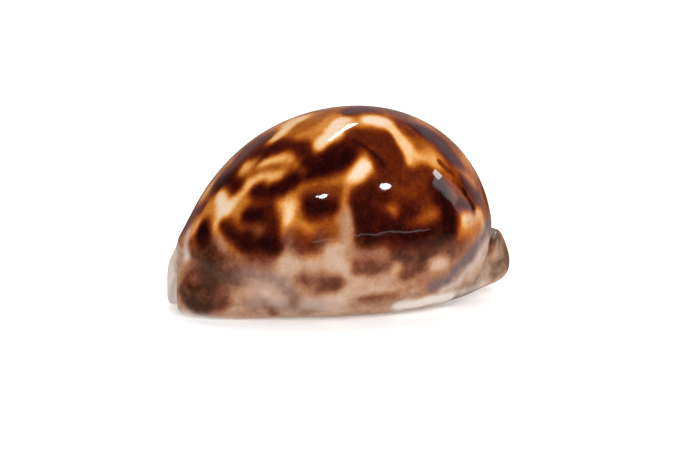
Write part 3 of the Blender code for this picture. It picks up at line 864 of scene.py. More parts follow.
LIGHT_MARKS = (
    Mark("left cream patch", ((221, 196), (223, 204), (225, 211)), 1.3, 0.0, 0.9),
    Mark("left vein", ((219, 218), (215, 226), (214, 233), (220, 242), (230, 249)), 0.5, 0.18,
         0.8),
    Mark("front rim amber", ((197, 222), (193, 229), (190, 237)), 0.5, 0.27, 0.9),
    Mark("front rim tan", ((201, 199), (208, 190), (214, 182)), 0.5, 0.26, 1.0),
    Mark("left diagonal vein", ((232, 203), (240, 192), (250, 182), (263, 178), (277, 177)), 0.8,
         0.13, 1.0),
    Mark("upper left vein", ((240, 172), (247, 165), (255, 161)), 0.7, 0.20, 1.2),
    Mark("upper vein", ((263, 163), (275, 159), (288, 154), (292, 158)), 0.6, 0.10, 0.9),
    Mark("skyline vein", ((273, 141), (281, 133), (290, 124), (301, 118)), 0.8, 0.12, 1.0),
    Mark("skyline amber", ((297, 138), (306, 136), (316, 134)), 0.6, 0.38, 1.0),
    Mark("left amber field", ((246, 200), (238, 210), (232, 216)), 1.0, 0.42),
    Mark("shoulder amber", ((206, 212), (213, 206), (214, 217)), 0.9, 0.38, 1.2),
    Mark("middle cream patch", ((287, 203), (286, 212), (285, 221)), 0.7, 0.05, 1.0),
    Mark("middle cream patch's top", ((290, 196), (294, 203)), 0.6, 0.30),
    Mark("middle amber", ((298, 222), (307, 227), (313, 230)), 0.5, 0.36, 1.1),
    Mark("amber notch", ((298, 168), (302, 174)), 0.5, 0.34, 1.0),
    Mark("bright cream patch", ((353, 180), (360, 173), (368, 166)), 0.9, 0.0, 1.1),
    Mark("top cream patch", ((370, 119), (376, 120), (382, 122)), 1.2, 0.0, 1.1),
    Mark("top vein", ((388, 125), (394, 130), (400, 138), (406, 148), (411, 158)), 0.8, 0.14, 1.0),
    Mark("highlight's cream streak", ((319, 147), (327, 139), (334, 131), (344, 119)), 1.0, 0.05,
         1.2),
    Mark("streak's amber", ((312, 130), (326, 122), (340, 115)), 0.6, 0.36, 1.0),
    Mark("rear amber", ((418, 158), (428, 158), (437, 162)), 0.8, 0.28, 1.2),
    Mark("rear rim amber", ((458, 167), (466, 175), (474, 185)), 0.7, 0.28, 1.1),
    Mark("pale wedge", ((346, 209), (348, 222), (346, 236)), 0.7, 0.24, 1.1),
    Mark("rear pale patch", ((466, 221), (474, 217), (480, 214)), 0.9, 0.12, 1.0),
    Mark("rear orange patch", ((461, 234), (470, 233), (477, 229)), 0.7, 0.46, 0.9),
    Mark("spot in the great mass", ((390, 207), (397, 213)), 0.4, 0.40, 0.8),
    Mark("arc in the great mass", ((406, 223), (418, 221), (430, 216), (441, 209)), 0.3, 0.54,
         0.9),
    Mark("amber over the eye", ((240, 202), (258, 202), (276, 201), (292, 195)), 0.4, 0.34, 1.0),
    Mark("amber under the eye", ((232, 222), (246, 229), (260, 231)), 0.3, 0.42, 0.8),
    Mark("amber beside the eye", ((281, 204), (279, 218), (282, 234)), 0.4, 0.36, 1.0),
    Mark("amber over the middle blot", ((300, 188), (318, 183), (338, 184)), 0.4, 0.42, 1.1),
    Mark("amber by the bright patch", ((350, 186), (344, 196), (340, 206), (341, 220)), 0.5, 0.40,
         1.1),
    Mark("red in the great mass", ((398, 190), (412, 189), (424, 184)), 0.6, 0.60, 1.2),
    Mark("wedge's foot", ((330, 252), (338, 250), (340, 262)), 1.4, 0.10),
    Mark("middle patch's foot", ((289, 260), (290, 270)), 0.9, 0.12),
)

FLANK_MARKS = (
    Mark("oval flank spot", ((361, 267), (370, 266), (381, 265)), 2.2, 0.66, 0.9),
    Mark("brown above the oval", ((346, 250), (354, 254)), 1.1, 0.44),
    Mark("rear flank spot", ((406, 275), (414, 271), (423, 268)), 1.2, 0.72, 0.8),
    Mark("twin flank spot, front", ((303, 278), (310, 281), (318, 284)), 0.9, 0.56),
    Mark("twin flank spot, rear", ((322, 283), (331, 284), (338, 286)), 1.1, 0.76, 0.8),
    Mark("low flank streak", ((366, 298), (380, 298), (393, 294)), 0.7, 0.66, 0.8),
    Mark("low warm band", ((362, 286), (384, 288), (404, 284)), 0.8, 0.30),
    Mark("behind the great mass", ((446, 250), (458, 251), (468, 246)), 1.2, 0.74),
    Mark("under the great mass", ((376, 252), (392, 250)), 0.8, 0.46),
    Mark("violet band's brown edge", ((428, 284), (444, 273), (458, 258), (472, 240)), 0.9, 0.50),
    Mark("pale gap", ((437, 266), (446, 262)), 0.8, 0.06),
    Mark("nose, upper", ((206, 252), (212, 262), (216, 274)), 2.6, 0.84),
    Mark("nose, middle", ((212, 284), (202, 290), (196, 282)), 2.6, 0.86),
    Mark("nose, low", ((190, 294), (196, 303), (212, 305)), 2.0, 0.88),
    Mark("nose, front", ((194, 276), (190, 286)), 1.4, 0.66),
    Mark("nose, rear", ((229, 262), (232, 274), (228, 284)), 1.8, 0.70),
    Mark("nose, rusty", ((224, 292), (218, 303)), 1.3, 0.70),
    Mark("nose, rust above", ((232, 259), (244, 262)), 0.8, 0.58),
    Mark("nose, tan above", ((226, 247), (238, 254)), 0.7, 0.34, 1.0),
    Mark("nose, pale edge", ((184, 258), (180, 272), (176, 286), (173, 297)), 0.7, 0.30, 1.0),
    Mark("nose, tan side", ((236, 293), (250, 296), (262, 294)), 1.3, 0.24),
    Mark("nose, tan foot", ((212, 313), (234, 312), (258, 311)), 0.7, 0.26, 0.9),
    Mark("front rim spot", ((273, 310), (274, 313)), 0.5, 0.68, 0.6),
    Mark("second front rim spot", ((296, 298), (299, 302)), 0.5, 0.60, 0.7),
)

SPOT_MARKS = (
    Mark("pale ring round the oval", ((343, 268), (350, 281), (370, 284), (388, 279), (397, 268)),
         0.7, 0.17, 1.3),
    Mark("violet brown foot", ((400, 249), (416, 252), (432, 248)), 1.0, 0.82, 1.0),
    Mark("pale behind the rear spot", ((430, 265), (438, 267), (446, 263)), 0.5, 0.14, 1.2),
    Mark("pale over the low streak", ((346, 291), (370, 291), (392, 286)), 0.4, 0.10, 1.0),
    Mark("brown over the oval", ((350, 251), (366, 251), (384, 253)), 0.4, 0.36, 1.2),
    Mark("left cream patch's middle", ((221, 197), (223, 204), (225, 211)), 0.9, 0.02, 1.3),
    Mark("bright cream patch's middle", ((354, 179), (361, 172), (367, 167)), 0.6, 0.0, 1.3),
    Mark("top cream patch's middle", ((370, 119), (376, 120), (382, 122)), 0.5, 0.02, 1.4),
    Mark("skyline vein's middle", ((275, 139), (282, 131), (291, 123), (299, 119)), 0.3, 0.12,
         1.2),
    Mark("left shoulder spot", ((216, 188), (223, 183)), 0.7, 0.92, 1.2),
    Mark("left bar's middle", ((260, 192), (270, 193), (282, 187)), 0.8, 0.97, 1.1),
    Mark("left eye's middle", ((249, 216), (255, 214)), 0.9, 1.0, 1.0),
    Mark("middle blot's middle", ((313, 204), (322, 209), (330, 207)), 0.9, 0.98, 1.3),
    Mark("oval spot", ((360, 267), (370, 266), (381, 265)), 2.1, 0.72, 1.0),
    Mark("oval spot's rim", ((354, 266), (362, 259), (374, 257), (385, 260)), 0.1, 0.66, 0.9),
    Mark("oval spot's heart", ((366, 267), (376, 266)), 0.6, 0.76, 1.2),
    Mark("rear spot", ((407, 275), (414, 271), (422, 268)), 0.9, 0.74, 1.1),
    Mark("front twin spot", ((303, 278), (310, 281), (318, 284)), 0.7, 0.64, 1.0),
    Mark("rear twin spot", ((322, 283), (331, 284), (338, 286)), 0.8, 0.76, 1.1),
    Mark("low streak", ((364, 298), (380, 299), (394, 294)), 0.5, 0.62, 1.0),
    Mark("low streak's end", ((394, 294), (408, 288), (420, 283)), 0.2, 0.46, 1.1),
    Mark("brown square's heart", ((301, 243), (316, 245)), 1.2, 0.76, 1.1),
    Mark("rear skyline spot's middle", ((418, 129), (427, 134), (436, 139)), 0.6, 0.94, 1.2),
    Mark("rear shoulder spot's middle", ((445, 149), (451, 156), (457, 163)), 0.6, 0.92, 1.1),
    Mark("smudge", ((458, 203), (466, 208), (474, 212)), 0.6, 0.94, 0.8),
)

FINE_MARKS = (
    Mark("rear brown line", ((441, 163), (450, 171), (458, 182), (466, 195), (473, 207)), 0.5,
         0.74, 0.5),
    Mark("rear dark line", ((457, 182), (465, 193), (470, 202), (474, 209)), 0.35, 1.0, 0.5),
    Mark("old crack", ((352, 140), (360, 145), (370, 152), (378, 158), (383, 164)), 0.3, 0.93,
         0.7),
)

# Zone colours laid over the pigment: the flank and the pale callus, with painted shade, painted
# sheen and the olive places.
ZONE_AND_SHADE_MARKS = (
    Mark("flank by the brown square", ((322, 244), (332, 252), (340, 260)), 1.6, 1.0, 1.6,
         Channel.FLANK),
    Mark("flank under the great mass", ((344, 250), (372, 252), (392, 262), (430, 260),
                                        (448, 250)), 1.8, 1.0, 1.0, Channel.FLANK),
    Mark("flank under the cream patch", ((287, 240), (290, 256)), 1.0, 1.0, 1.4, Channel.FLANK),
    Mark("flank over the nose", ((216, 256), (240, 264), (262, 264)), 1.0, 1.0, 1.6,
         Channel.FLANK),
    Mark("wedge", ((347, 214), (347, 230), (340, 244)), 1.2, 1.0, 1.4, Channel.FLANK),
    Mark("pale patch in flank colour", ((468, 221), (478, 217)), 0.9, 0.9, 1.2, Channel.FLANK),
    Mark("rear side in flank colour", ((446, 250), (460, 250), (472, 244), (481, 232)), 1.0, 1.0,
         1.4, Channel.FLANK),
    Mark("far lip", ((176, 246), (172, 262), (169, 280), (169, 296)), 3.0, 1.0, 2.0,
         Channel.FLANK),
    # Painted shade in the hollow by the front end.
    Mark("grey by the front", ((240, 276), (254, 276), (268, 279), (284, 284), (294, 296)), 0.7,
         0.62, 2.2, Channel.PAINTED_SHADE_AND_SHEEN),
    Mark("nose's grey veil", ((196, 262), (204, 276), (220, 282), (236, 282)), 1.6, 0.24, 2.4,
         Channel.OLIVE_AND_PAINTED_SHADE),
    # Painted shade in the groove before the rear lobe.
    Mark("violet band", ((433, 287), (445, 280), (456, 271), (466, 260), (475, 249), (483, 237),
                         (488, 225)), 1.0, 1.0, 1.6, Channel.PAINTED_SHADE_AND_SHEEN),
    # Painted sheen along the skyline: at the rear, on the left and on the top.
    Mark("rear skyline grey", ((398, 112), (420, 126), (440, 144), (460, 164), (478, 196),
                               (487, 216)), 1.5, 0.42, 2.5, Channel.PAINTED_SHADE_AND_SHEEN),
    Mark("left skyline grey", ((218, 178), (234, 164), (254, 145), (268, 136)), 0.8, 0.35, 1.5,
         Channel.PAINTED_SHADE_AND_SHEEN),
    Mark("top skyline grey", ((346, 112), (366, 108), (392, 110)), 0.8, 0.3, 1.5, Channel.PAINTED_SHADE_AND_SHEEN),
    # Painted shade low on the front margin, near the floor.
    Mark("front margin's grey", ((252, 302), (272, 305), (296, 307), (320, 307)), 1.0, 0.44, 2.2,
         Channel.PAINTED_SHADE_AND_SHEEN),
    # Painted shadow and painted reflection along the bottom of the flank.
    Mark("low rim grey", ((336, 304), (360, 306), (382, 304), (402, 299), (420, 292)), 0.3, 0.5,
         0.8, Channel.PAINTED_SHADE_AND_SHEEN),
    # Painted shade over the rear lobe's pit.
    Mark("rear lobe", ((496, 234), (504, 248), (503, 262), (494, 271)), 1.6, 0.9, 1.8,
         Channel.OLIVE_AND_PAINTED_SHADE),
    # Painted shadow in the slit by the rear lobe.
    Mark("slit by the rear lobe", ((488, 256), (491, 246), (494, 238)), 0.3, 1.0, 0.7,
         Channel.OLIVE_AND_PAINTED_SHADE),
    Mark("groove", ((441, 291), (454, 284), (465, 274), (475, 262), (483, 251), (488, 241),
                    (492, 230)), 0.6, 0.38, 1.0, Channel.WHITE),
    Mark("rear lobe's side", ((462, 290), (474, 284), (484, 274), (488, 263)), 1.8, 0.60, 2.2,
         Channel.OLIVE_AND_PAINTED_SHADE),
    # Painted shade in the groove.
    Mark("groove's grey", ((448, 287), (466, 273), (480, 255), (488, 240)), 1.0, 0.40, 1.2,
         Channel.PAINTED_SHADE_AND_SHEEN),
    Mark("rear lobe's foot", ((450, 294), (468, 291), (484, 283)), 0.6, 0.4, 1.2, Channel.WHITE),
    Mark("washed rear margin", ((400, 306), (418, 303), (436, 300), (450, 298)), 1.3, 1.0, 1.3,
         Channel.WHITE),
    Mark("far lip's pale strip", ((188, 232), (186, 244), (187, 256)), 0.7, 0.55, 0.9,
         Channel.WHITE),
    Mark("far lip's pale end", ((178, 238), (174, 252), (170, 266), (169, 282), (169, 298)), 1.6,
         0.7, 2.4, Channel.WHITE),
    Mark("pale front margin", ((258, 290), (270, 296), (282, 304)), 0.5, 0.26, 2.2, Channel.WHITE),
    # Painted reflection of the pale floor on the low margin.
    Mark("lilac low margin", ((308, 303), (324, 306), (340, 303)), 1.2, 0.22, 1.6, Channel.WHITE),
)


@dataclass(frozen=True)
class Scatter:
    """Blots of one kind on the sides that the photograph doesn't show, in millimetres.

    Attributes:
        seed: Seed of their places.
        tries: How many places are tried.
        spacing: Least distance between two of them.
        length: Length of the longest.
        half_width: Least and most half of the width.
        level: Least and most pigment.
        halo: Distance over which they fade out.
    """

    seed: int
    tries: int
    spacing: float
    length: float
    half_width: tuple[float, float]
    level: tuple[float, float]
    halo: float


SCATTERS = (
    Scatter(11, 2500, 8.6, 6.5, (1.2, 2.4), (0.92, 1.0), 1.5),
    Scatter(23, 1500, 6.2, 2.0, (0.5, 1.1), (0.70, 0.95), 1.1),
    Scatter(37, 900, 9.5, 5.0, (0.5, 1.1), (0.04, 0.24), 1.3),
)


@dataclass(frozen=True)
class Ground:
    """The even colours that the markings stand on, and where one gives way to the next.

    Attributes:
        back: Pigment of the back, and back_spread how much it varies.
        flank: Pigment of the flank, and flank_spread how much it varies.
        flank_heights: Heights between which the back gives way to the flank.
        waver: How far that boundary wavers.
        cloud_scale: Scale of the noise that both vary by.
        small_cloud_scale: Scale of its finer part.
        small_clouds: Share of its finer part.
        share: Weight of the ground in the mean.
    """

    back: float = 0.45
    back_spread: float = 0.34
    flank: float = 0.17
    flank_spread: float = 0.22
    flank_heights: tuple[float, float] = (14.0 * MM, 18.5 * MM)
    waver: float = 7.0 * MM
    cloud_scale: float = 110.0
    small_cloud_scale: float = 297.0
    small_clouds: float = 0.5
    share: float = 0.8


class Brush:
    """Brushes markings into point attributes of the shell's sheet.

    The pigment is a mean of the ground and of all blots, each with a weight that falls with
    the distance from it, so neighbours run into each other as they do in the enamel. Spots and
    the other channels are laid over it, all is blurred a little, and the fine lines come last.

    Attributes:
        SEED: Seed of the wobble.
        WOBBLES: Scale and reach of the shifts that make the marks' edges uneven.
        STRIDE_PIXELS: Longest step along a mark's path.
        FALL: Power at which a blot's weight falls off.
        FULL_WEIGHT: Weight of a blot on itself.
        INNER_HALO: Share of the halo that lies inside a laid mark's edge.
        SOFT_COLUMNS: Passes of the blur from column to column.
        SOFT_ROWS: Passes of the blur from row to row.
        AWAY: How far a hidden side's normal is turned from the camera.
    """

    SEED = 5
    WOBBLES = ((230.0, 0.9 * MM), (600.0, 0.25 * MM))
    STRIDE_PIXELS = 5.0
    FALL = 3.0
    FULL_WEIGHT = 45.0
    INNER_HALO = 0.3
    SOFT_COLUMNS = 3
    SOFT_ROWS = 2
    AWAY = -0.08

    def __init__(self, sheet: ShellSheet, mesh: bpy.types.Mesh, view: PhotoView) -> None:
        """Prepare the surface.

        Args:
            sheet: The shell's rows and columns.
            mesh: The mesh made of them.
            view: The photograph's view, for marks that are placed by it.
        """
        self.view = view
        self.eye = view.place()
        self.tree = BVHTree.FromPolygons(
            [vertex.co for vertex in mesh.vertices], [face.vertices for face in mesh.polygons])
        self.points = sheet.flat(sheet.points)
        shape = sheet.points.shape
        self.grid = shape[0] - 2, shape[1]
        self.ring = sheet.flat(np.repeat(sheet.ring[:, None], shape[1], axis=1))
        normals = np.empty(len(mesh.vertices) * 3, np.float32)
        mesh.vertices.foreach_get("normal", normals)
        self.normals = normals.reshape(-1, 3)
        self.places = self.points.copy()
        noise.seed_set(self.SEED)
        for scale, reach in self.WOBBLES:
            shifts = [noise.noise_vector(Vector(point) * scale) for point in self.points]
            self.places += np.array(shifts) * reach
        self.values = {channel: np.zeros(len(self.points)) for channel in Channel}
        self.weight = np.zeros(len(self.points))
        self.weighed = np.zeros(len(self.points))

    def touch(self, pixel: tuple[float, float]) -> Vector | None:
        """Place on the shell that shows at a place in the photograph."""
        return self.tree.ray_cast(self.eye, self.view.ray(pixel))[0]

    def trail(self, path: tuple[tuple[float, float], ...]) -> list[Vector]:
        """Places on the shell under a line drawn over the photograph."""
        places = [self.touch(path[0])]
        for start, end in zip(path, path[1:]):
            count = max(1, math.ceil(math.dist(start, end) / self.STRIDE_PIXELS))
            for n in range(1, count + 1):
                share = n / count
                places.append(self.touch((
                    start[0] + (end[0] - start[0]) * share,
                    start[1] + (end[1] - start[1]) * share,
                )))
        return [place for place in places if place is not None]

    def distance(self, places: list[Vector]) -> np.ndarray:
        """Distance of every point, wobbled a little, from a line of places."""
        nearest = np.full(len(self.places), np.inf)
        line = np.array(places)
        for start, end in zip(line, np.roll(line, -1, axis=0)[:max(1, len(line) - 1)]):
            along = end - start
            length = max(float(along @ along), 1e-12)
            share = np.clip((self.places - start) @ along / length, 0.0, 1.0)
            gap = np.linalg.norm(self.places - start - share[:, None] * along, axis=1)
            nearest = np.minimum(nearest, gap)
        return nearest

    def stroke(self, mark: Mark, blot: bool) -> None:
        """Brush one mark on, as a blot that runs into its neighbours or laid over them."""
        places = self.trail(mark.path)
        if not places:
            log.warning("mark %s misses the shell", mark.name)
        elif blot:
            self.blot(mark, self.distance(places))
        else:
            self.lay(mark, self.distance(places))

    def blot(self, mark: Mark, distance: np.ndarray) -> None:
        """Add a mark to the mean that the pigment is."""
        away = np.maximum(distance - mark.half_width * MM, 0.0) / (mark.halo * MM)
        weight = 1.0 / (away ** self.FALL + 1.0 / self.FULL_WEIGHT)
        self.weight += weight
        self.weighed += weight * mark.level

    def lay(self, mark: Mark, distance: np.ndarray) -> None:
        """Bring the mark's channel towards its level, near a line."""
        half_width = mark.half_width * MM
        halo = mark.halo * MM
        weight = 1.0 - smooth(distance, half_width - self.INNER_HALO * halo, half_width + halo)
        values = self.values[mark.channel]
        if mark.channel is Channel.PIGMENT:
            values += (mark.level - values) * weight
        else:
            np.maximum(values, mark.level * weight, out=values)

    def ground(self, ground: Ground) -> None:
        """Start the mean with the ground, and part the back from the flanks and the base."""
        height = self.points[:, 2]
        clouds = np.array([
            noise.noise(Vector(point) * ground.cloud_scale)
            + ground.small_clouds * noise.noise(Vector(point) * ground.small_cloud_scale)
            for point in self.points])
        level = height + ground.waver * clouds
        flank = 1.0 - smooth(level, *ground.flank_heights)
        back = ground.back + ground.back_spread * clouds
        low = ground.flank + ground.flank_spread * clouds
        self.values[Channel.FLANK][:] = flank
        self.weight[:] = ground.share
        self.weighed[:] = ground.share * mix(back, low, flank)
        self.values[Channel.WHITE][:] = smooth(self.ring + clouds, *BASE_RINGS)

    def scatter(self, kind: Scatter) -> None:
        """Spread blots over the sides that the photograph doesn't show."""
        draw = np.random.default_rng(kind.seed)
        to_eye = np.array(self.eye) - self.points
        to_eye /= np.linalg.norm(to_eye, axis=1)[:, None]
        turned = np.sum(to_eye * self.normals, axis=1) < self.AWAY
        hidden = turned & (self.ring < BASE_RINGS[0])
        places = np.flatnonzero(hidden)
        chosen: list[np.ndarray] = []
        for _ in range(kind.tries):
            at = draw.choice(places)
            middle = self.points[at]
            half_width = draw.uniform(*kind.half_width)
            level = draw.uniform(*kind.level)
            turn = draw.normal(size=3)
            if any(np.linalg.norm(middle - other) < kind.spacing * MM for other in chosen):
                continue
            chosen.append(middle)
            along = np.cross(self.normals[at], turn)
            along *= 0.5 * kind.length * MM * draw.random() / np.linalg.norm(along)
            mark = Mark("blot", (), half_width, level, kind.halo)
            self.blot(mark, self.distance([Vector(middle - along), Vector(middle + along)]))
        log.info("scattered %d blots over the hidden sides", len(chosen))

    def soften(self, values: np.ndarray) -> np.ndarray:
        """Blur a channel over the rows and columns of the sheet, as under deep enamel."""
        inner = values[1:-1].reshape(self.grid)
        for _ in range(self.SOFT_COLUMNS):
            inner = (np.roll(inner, 1, axis=1) + 2.0 * inner + np.roll(inner, -1, axis=1)) / 4.0
        for _ in range(self.SOFT_ROWS):
            above = np.concatenate([inner[:1], inner[:-1]])
            below = np.concatenate([inner[1:], inner[-1:]])
            inner = (above + 2.0 * inner + below) / 4.0
        return np.concatenate([[inner[0].mean()], inner.ravel(), [inner[-1].mean()]])

    def paint(self) -> None:
        """Brush all markings on, from the ground up."""
        self.ground(Ground())
        for kind in SCATTERS:
            self.scatter(kind)
        for mark in DARK_MARKS + LIGHT_MARKS + FLANK_MARKS:
            self.stroke(mark, blot=True)
        self.values[Channel.PIGMENT][:] = self.weighed / self.weight
        for mark in SPOT_MARKS + ZONE_AND_SHADE_MARKS:
            self.stroke(mark, blot=False)
        for values in self.values.values():
            values[:] = self.soften(values)
        for mark in FINE_MARKS:
            self.stroke(mark, blot=False)

    def store(self, mesh: bpy.types.Mesh) -> None:
        """Keep every channel as a point attribute of the mesh."""
        for channel, values in self.values.items():
            put_attribute(mesh, channel.value, values)


@dataclass(frozen=True)
class ToothRelief:
    """Teeth of both lips, raised by Geometry Nodes across the edge of the mouth."""

    count: int = 25
    height: float = 0.75 * MM
    groove_share: float = 0.42
    sharpness: float = 1.0
    first_ring: float = 20.6
    last_ring: float = 24.8
    fade: float = 0.05

    def mark(self, sheet: ShellSheet, mesh: bpy.types.Mesh) -> None:
        """Store where the teeth are: their place along the lip and their reach across it."""
        columns = sheet.columns
        middle = 0.5 * (self.first_ring + self.last_ring)
        span = 0.5 * (self.last_ring - self.first_ring)
        across = np.clip(1.0 - ((sheet.ring - middle) / span) ** 2, 0.0, 1.0)
        on_lip = (columns.section == Section.OUTER_LIP) | (
            columns.section == Section.COLUMELLAR_LIP)
        ends = smooth(columns.along, 0.0, self.fade) * smooth(
            1.0 - columns.along, 0.0, self.fade)
        reach = across[:, None] * np.where(on_lip, ends, 0.0)[None]
        along = np.repeat(columns.along[None], len(sheet.ring), axis=0)
        put_attribute(mesh, "tooth_reach", sheet.flat(reach))
        put_attribute(mesh, "lip_along", sheet.flat(along))

    def tree(self, finish: bpy.types.Material) -> bpy.types.NodeTree:
        """The node tree, with the teeth's sizes as named inputs."""
        tree = bpy.data.node_groups.new("tooth_relief", "GeometryNodeTree")
        tree.interface.new_socket("Geometry", in_out="INPUT", socket_type="NodeSocketGeometry")
        for name in ("Teeth", "Height", "Groove Share", "Sharpness"):
            tree.interface.new_socket(name, in_out="INPUT", socket_type="NodeSocketFloat")
        tree.interface.new_socket("Geometry", in_out="OUTPUT", socket_type="NodeSocketGeometry")
        graph = Graph(tree)
        given = graph.node("NodeGroupInput")
        reach = self.named(graph, "tooth_reach")
        along = self.named(graph, "lip_along")
        turn = along * graph.value(given, "Teeth") * math.tau
        wave = (0.5 - graph.math("COSINE", turn) * 0.5) ** graph.value(given, "Sharpness")
        rise = (wave - graph.value(given, "Groove Share")) * reach
        rise = rise * graph.value(given, "Height")
        normal = graph.add("GeometryNodeInputNormal")
        offset = graph.add(
            "ShaderNodeVectorMath", {"operation": "SCALE"}, {"Vector": normal, "Scale": rise})
        raised = graph.add(
            "GeometryNodeSetPosition", None,
            {"Geometry": graph.value(given, "Geometry"), "Offset": offset})
        place = graph.add("GeometryNodeInputPosition")
        parts = graph.node("ShaderNodeSeparateXYZ", None, {0: place})
        above = graph.math("MAXIMUM", graph.value(parts, "Z"), 0.0)
        level = graph.add(
            "ShaderNodeCombineXYZ", None,
            {"X": graph.value(parts, "X"), "Y": graph.value(parts, "Y"), "Z": above})
        flat = graph.add(
            "GeometryNodeSetPosition", None, {"Geometry": raised, "Position": level})
        whole = graph.add("GeometryNodeRealizeInstances", None, {0: flat})
        dressed = graph.add(
            "GeometryNodeSetMaterial", None, {"Geometry": whole, "Material": finish})
        graph.node("NodeGroupOutput", None, {0: dressed})
        return tree

    @staticmethod
    def named(graph: Graph, name: str) -> Value:
        """A point attribute inside the tree."""
        return graph.add(
            "GeometryNodeInputNamedAttribute", {"data_type": "FLOAT"}, {"Name": name},
            "Attribute")

    def raise_on(self, shell: bpy.types.Object, finish: bpy.types.Material) -> None:
        """Apply the tree, and leave its result as the shell's plain mesh."""
        tree = self.tree(finish)
        modifier = shell.modifiers.new("teeth", "NODES")
        modifier.node_group = tree
        sizes = {
            "Teeth": float(self.count),
            "Height": self.height,
            "Groove Share": self.groove_share,
            "Sharpness": self.sharpness,
        }
        for item in tree.interface.items_tree:
            if item.in_out == "INPUT" and item.name in sizes:
                modifier[item.identifier] = sizes[item.name]
        graph = bpy.context.evaluated_depsgraph_get()
        result = bpy.data.meshes.new_from_object(shell.evaluated_get(graph))
        shell.modifiers.clear()
        plain = shell.data
        shell.data = result
        bpy.data.meshes.remove(plain)
        result.name = shell.name


Colour = tuple[float, float, float]
Stops = tuple[tuple[float, Colour], ...]


@dataclass(frozen=True)
class EnamelFinish:
    """Glossy enamel of the shell: its pigment, its zones, its painted shade and sheen, and its
    fine wear.
    """

    back: Stops = (
        (0.00, (0.76, 0.60, 0.46)),
        (0.10, (0.74, 0.51, 0.31)),
        (0.22, (0.70, 0.36, 0.12)),
        (0.36, (0.52, 0.18, 0.028)),
        (0.50, (0.33, 0.085, 0.008)),
        (0.64, (0.18, 0.030, 0.003)),
        (0.78, (0.085, 0.011, 0.002)),
        (0.90, (0.035, 0.0033, 0.0014)),
        (1.00, (0.010, 0.0009, 0.0009)),
    )
    flank: Stops = (
        (0.00, (0.54, 0.37, 0.29)),
        (0.18, (0.46, 0.28, 0.18)),
        (0.36, (0.35, 0.17, 0.085)),
        (0.54, (0.25, 0.095, 0.048)),
        (0.70, (0.13, 0.038, 0.018)),
        (0.86, (0.045, 0.012, 0.003)),
        (1.00, (0.016, 0.004, 0.002)),
    )
    # Colour of the painted shade in hollows and grooves and of the painted sheen along the
    # skyline.
    grey: Colour = (0.13, 0.085, 0.088)
    # Dark olive, also the colour of the painted shade in the rear lobe's pit and slit.
    olive: Colour = (0.115, 0.070, 0.045)
    callus: Colour = (0.74, 0.66, 0.60)
    roughness: float = 0.04
    wear: float = 0.03
    wear_scale: float = 120.0
    wear_levels: tuple[float, float] = (-0.1, 0.3)
    ior: float = 1.42
    mottle_scale: float = 420.0
    fine_mottle_scale: float = 1300.0
    edge_noise: float = 0.17
    speckle: float = 0.28
    olive_mean: float = 0.85
    olive_mottle: float = 1.5
    white_mottle: float = 0.5
    wave_height: float = 0.07 * MM
    wave_scale: float = 150.0
    ripple_height: float = 0.014 * MM
    ripple_scale: float = 420.0
    scratch_height: float = 0.002 * MM
    scratch_turn: tuple[float, float, float] = (0.3, 0.9, 0.5)
    scratch_scale: tuple[float, float, float] = (60.0, 900.0, 900.0)
    scratch_levels: tuple[float, float] = (0.16, 0.30)
    grain_height: float = 0.0003 * MM
    grain_scale: float = 1800.0

    def make(self) -> bpy.types.Material:
        """Make the material."""
        material = bpy.data.materials.new("cowrie_enamel")
        material.use_nodes = True
        graph = Graph(material.node_tree)
        place = graph.add("ShaderNodeTexCoord", output="Object")
        wear = graph.step(graph.noise(place, self.wear_scale, 4.0), *self.wear_levels)
        bump = graph.add(
            "ShaderNodeBump", None,
            {"Strength": 1.0, "Distance": 1.0, "Height": self.relief(graph, place)})
        graph.fill(material.node_tree.nodes["Principled BSDF"], {
            "Base Color": self.colour(graph, place),
            "Roughness": wear * self.wear + self.roughness,
            "IOR": self.ior,
            "Normal": bump,
        })
        return material

    def colour(self, graph: Graph, place: Value) -> Value:
        """Colour of the enamel: pigment by zone, then the painted shade and sheen, the olive
        places with their painted shade, and the pale places.
        """
        fine = graph.noise(place, self.fine_mottle_scale, 3.0)
        medium = graph.noise(place, self.mottle_scale, 4.0)
        flank = graph.attribute(Channel.FLANK.value)
        pigment = graph.attribute(Channel.PIGMENT.value) + medium * self.edge_noise
        pigment = pigment + fine * self.edge_noise
        speckled = pigment + medium * self.speckle
        back = graph.ramp(pigment, self.back)
        colour = graph.blend(flank, back, graph.ramp(speckled, self.flank))
        # Painted shade and sheen, mottled by the medium noise.
        grey = graph.attribute(Channel.PAINTED_SHADE_AND_SHEEN.value) * (1.0 + medium)
        colour = graph.blend(grey, colour, self.grey)
        # Olive places, with the painted shade in the rear lobe's pit and slit.
        patchy = self.olive_mean + medium * self.olive_mottle
        olive = graph.attribute(Channel.OLIVE_AND_PAINTED_SHADE.value) * patchy
        colour = graph.blend(olive, colour, self.olive)
        white = graph.attribute(Channel.WHITE.value) * (1.0 + fine * self.white_mottle)
        return graph.blend(white, colour, self.callus)

    def relief(self, graph: Graph, place: Value) -> Value:
        """Height of the glaze: slow waves, ripples, fine scratches and grain."""
        waves = graph.noise(place, self.wave_scale)
        ripples = graph.noise(place, self.ripple_scale, 1.0)
        stretched = graph.add(
            "ShaderNodeMapping", None,
            {"Vector": place, "Rotation": self.scratch_turn, "Scale": self.scratch_scale})
        scratches = graph.step(graph.noise(stretched, 1.0, 4.0), *self.scratch_levels)
        grain = graph.noise(place, self.grain_scale)
        return (waves * self.wave_height + ripples * self.ripple_height
                + scratches * self.scratch_height + grain * self.grain_height)


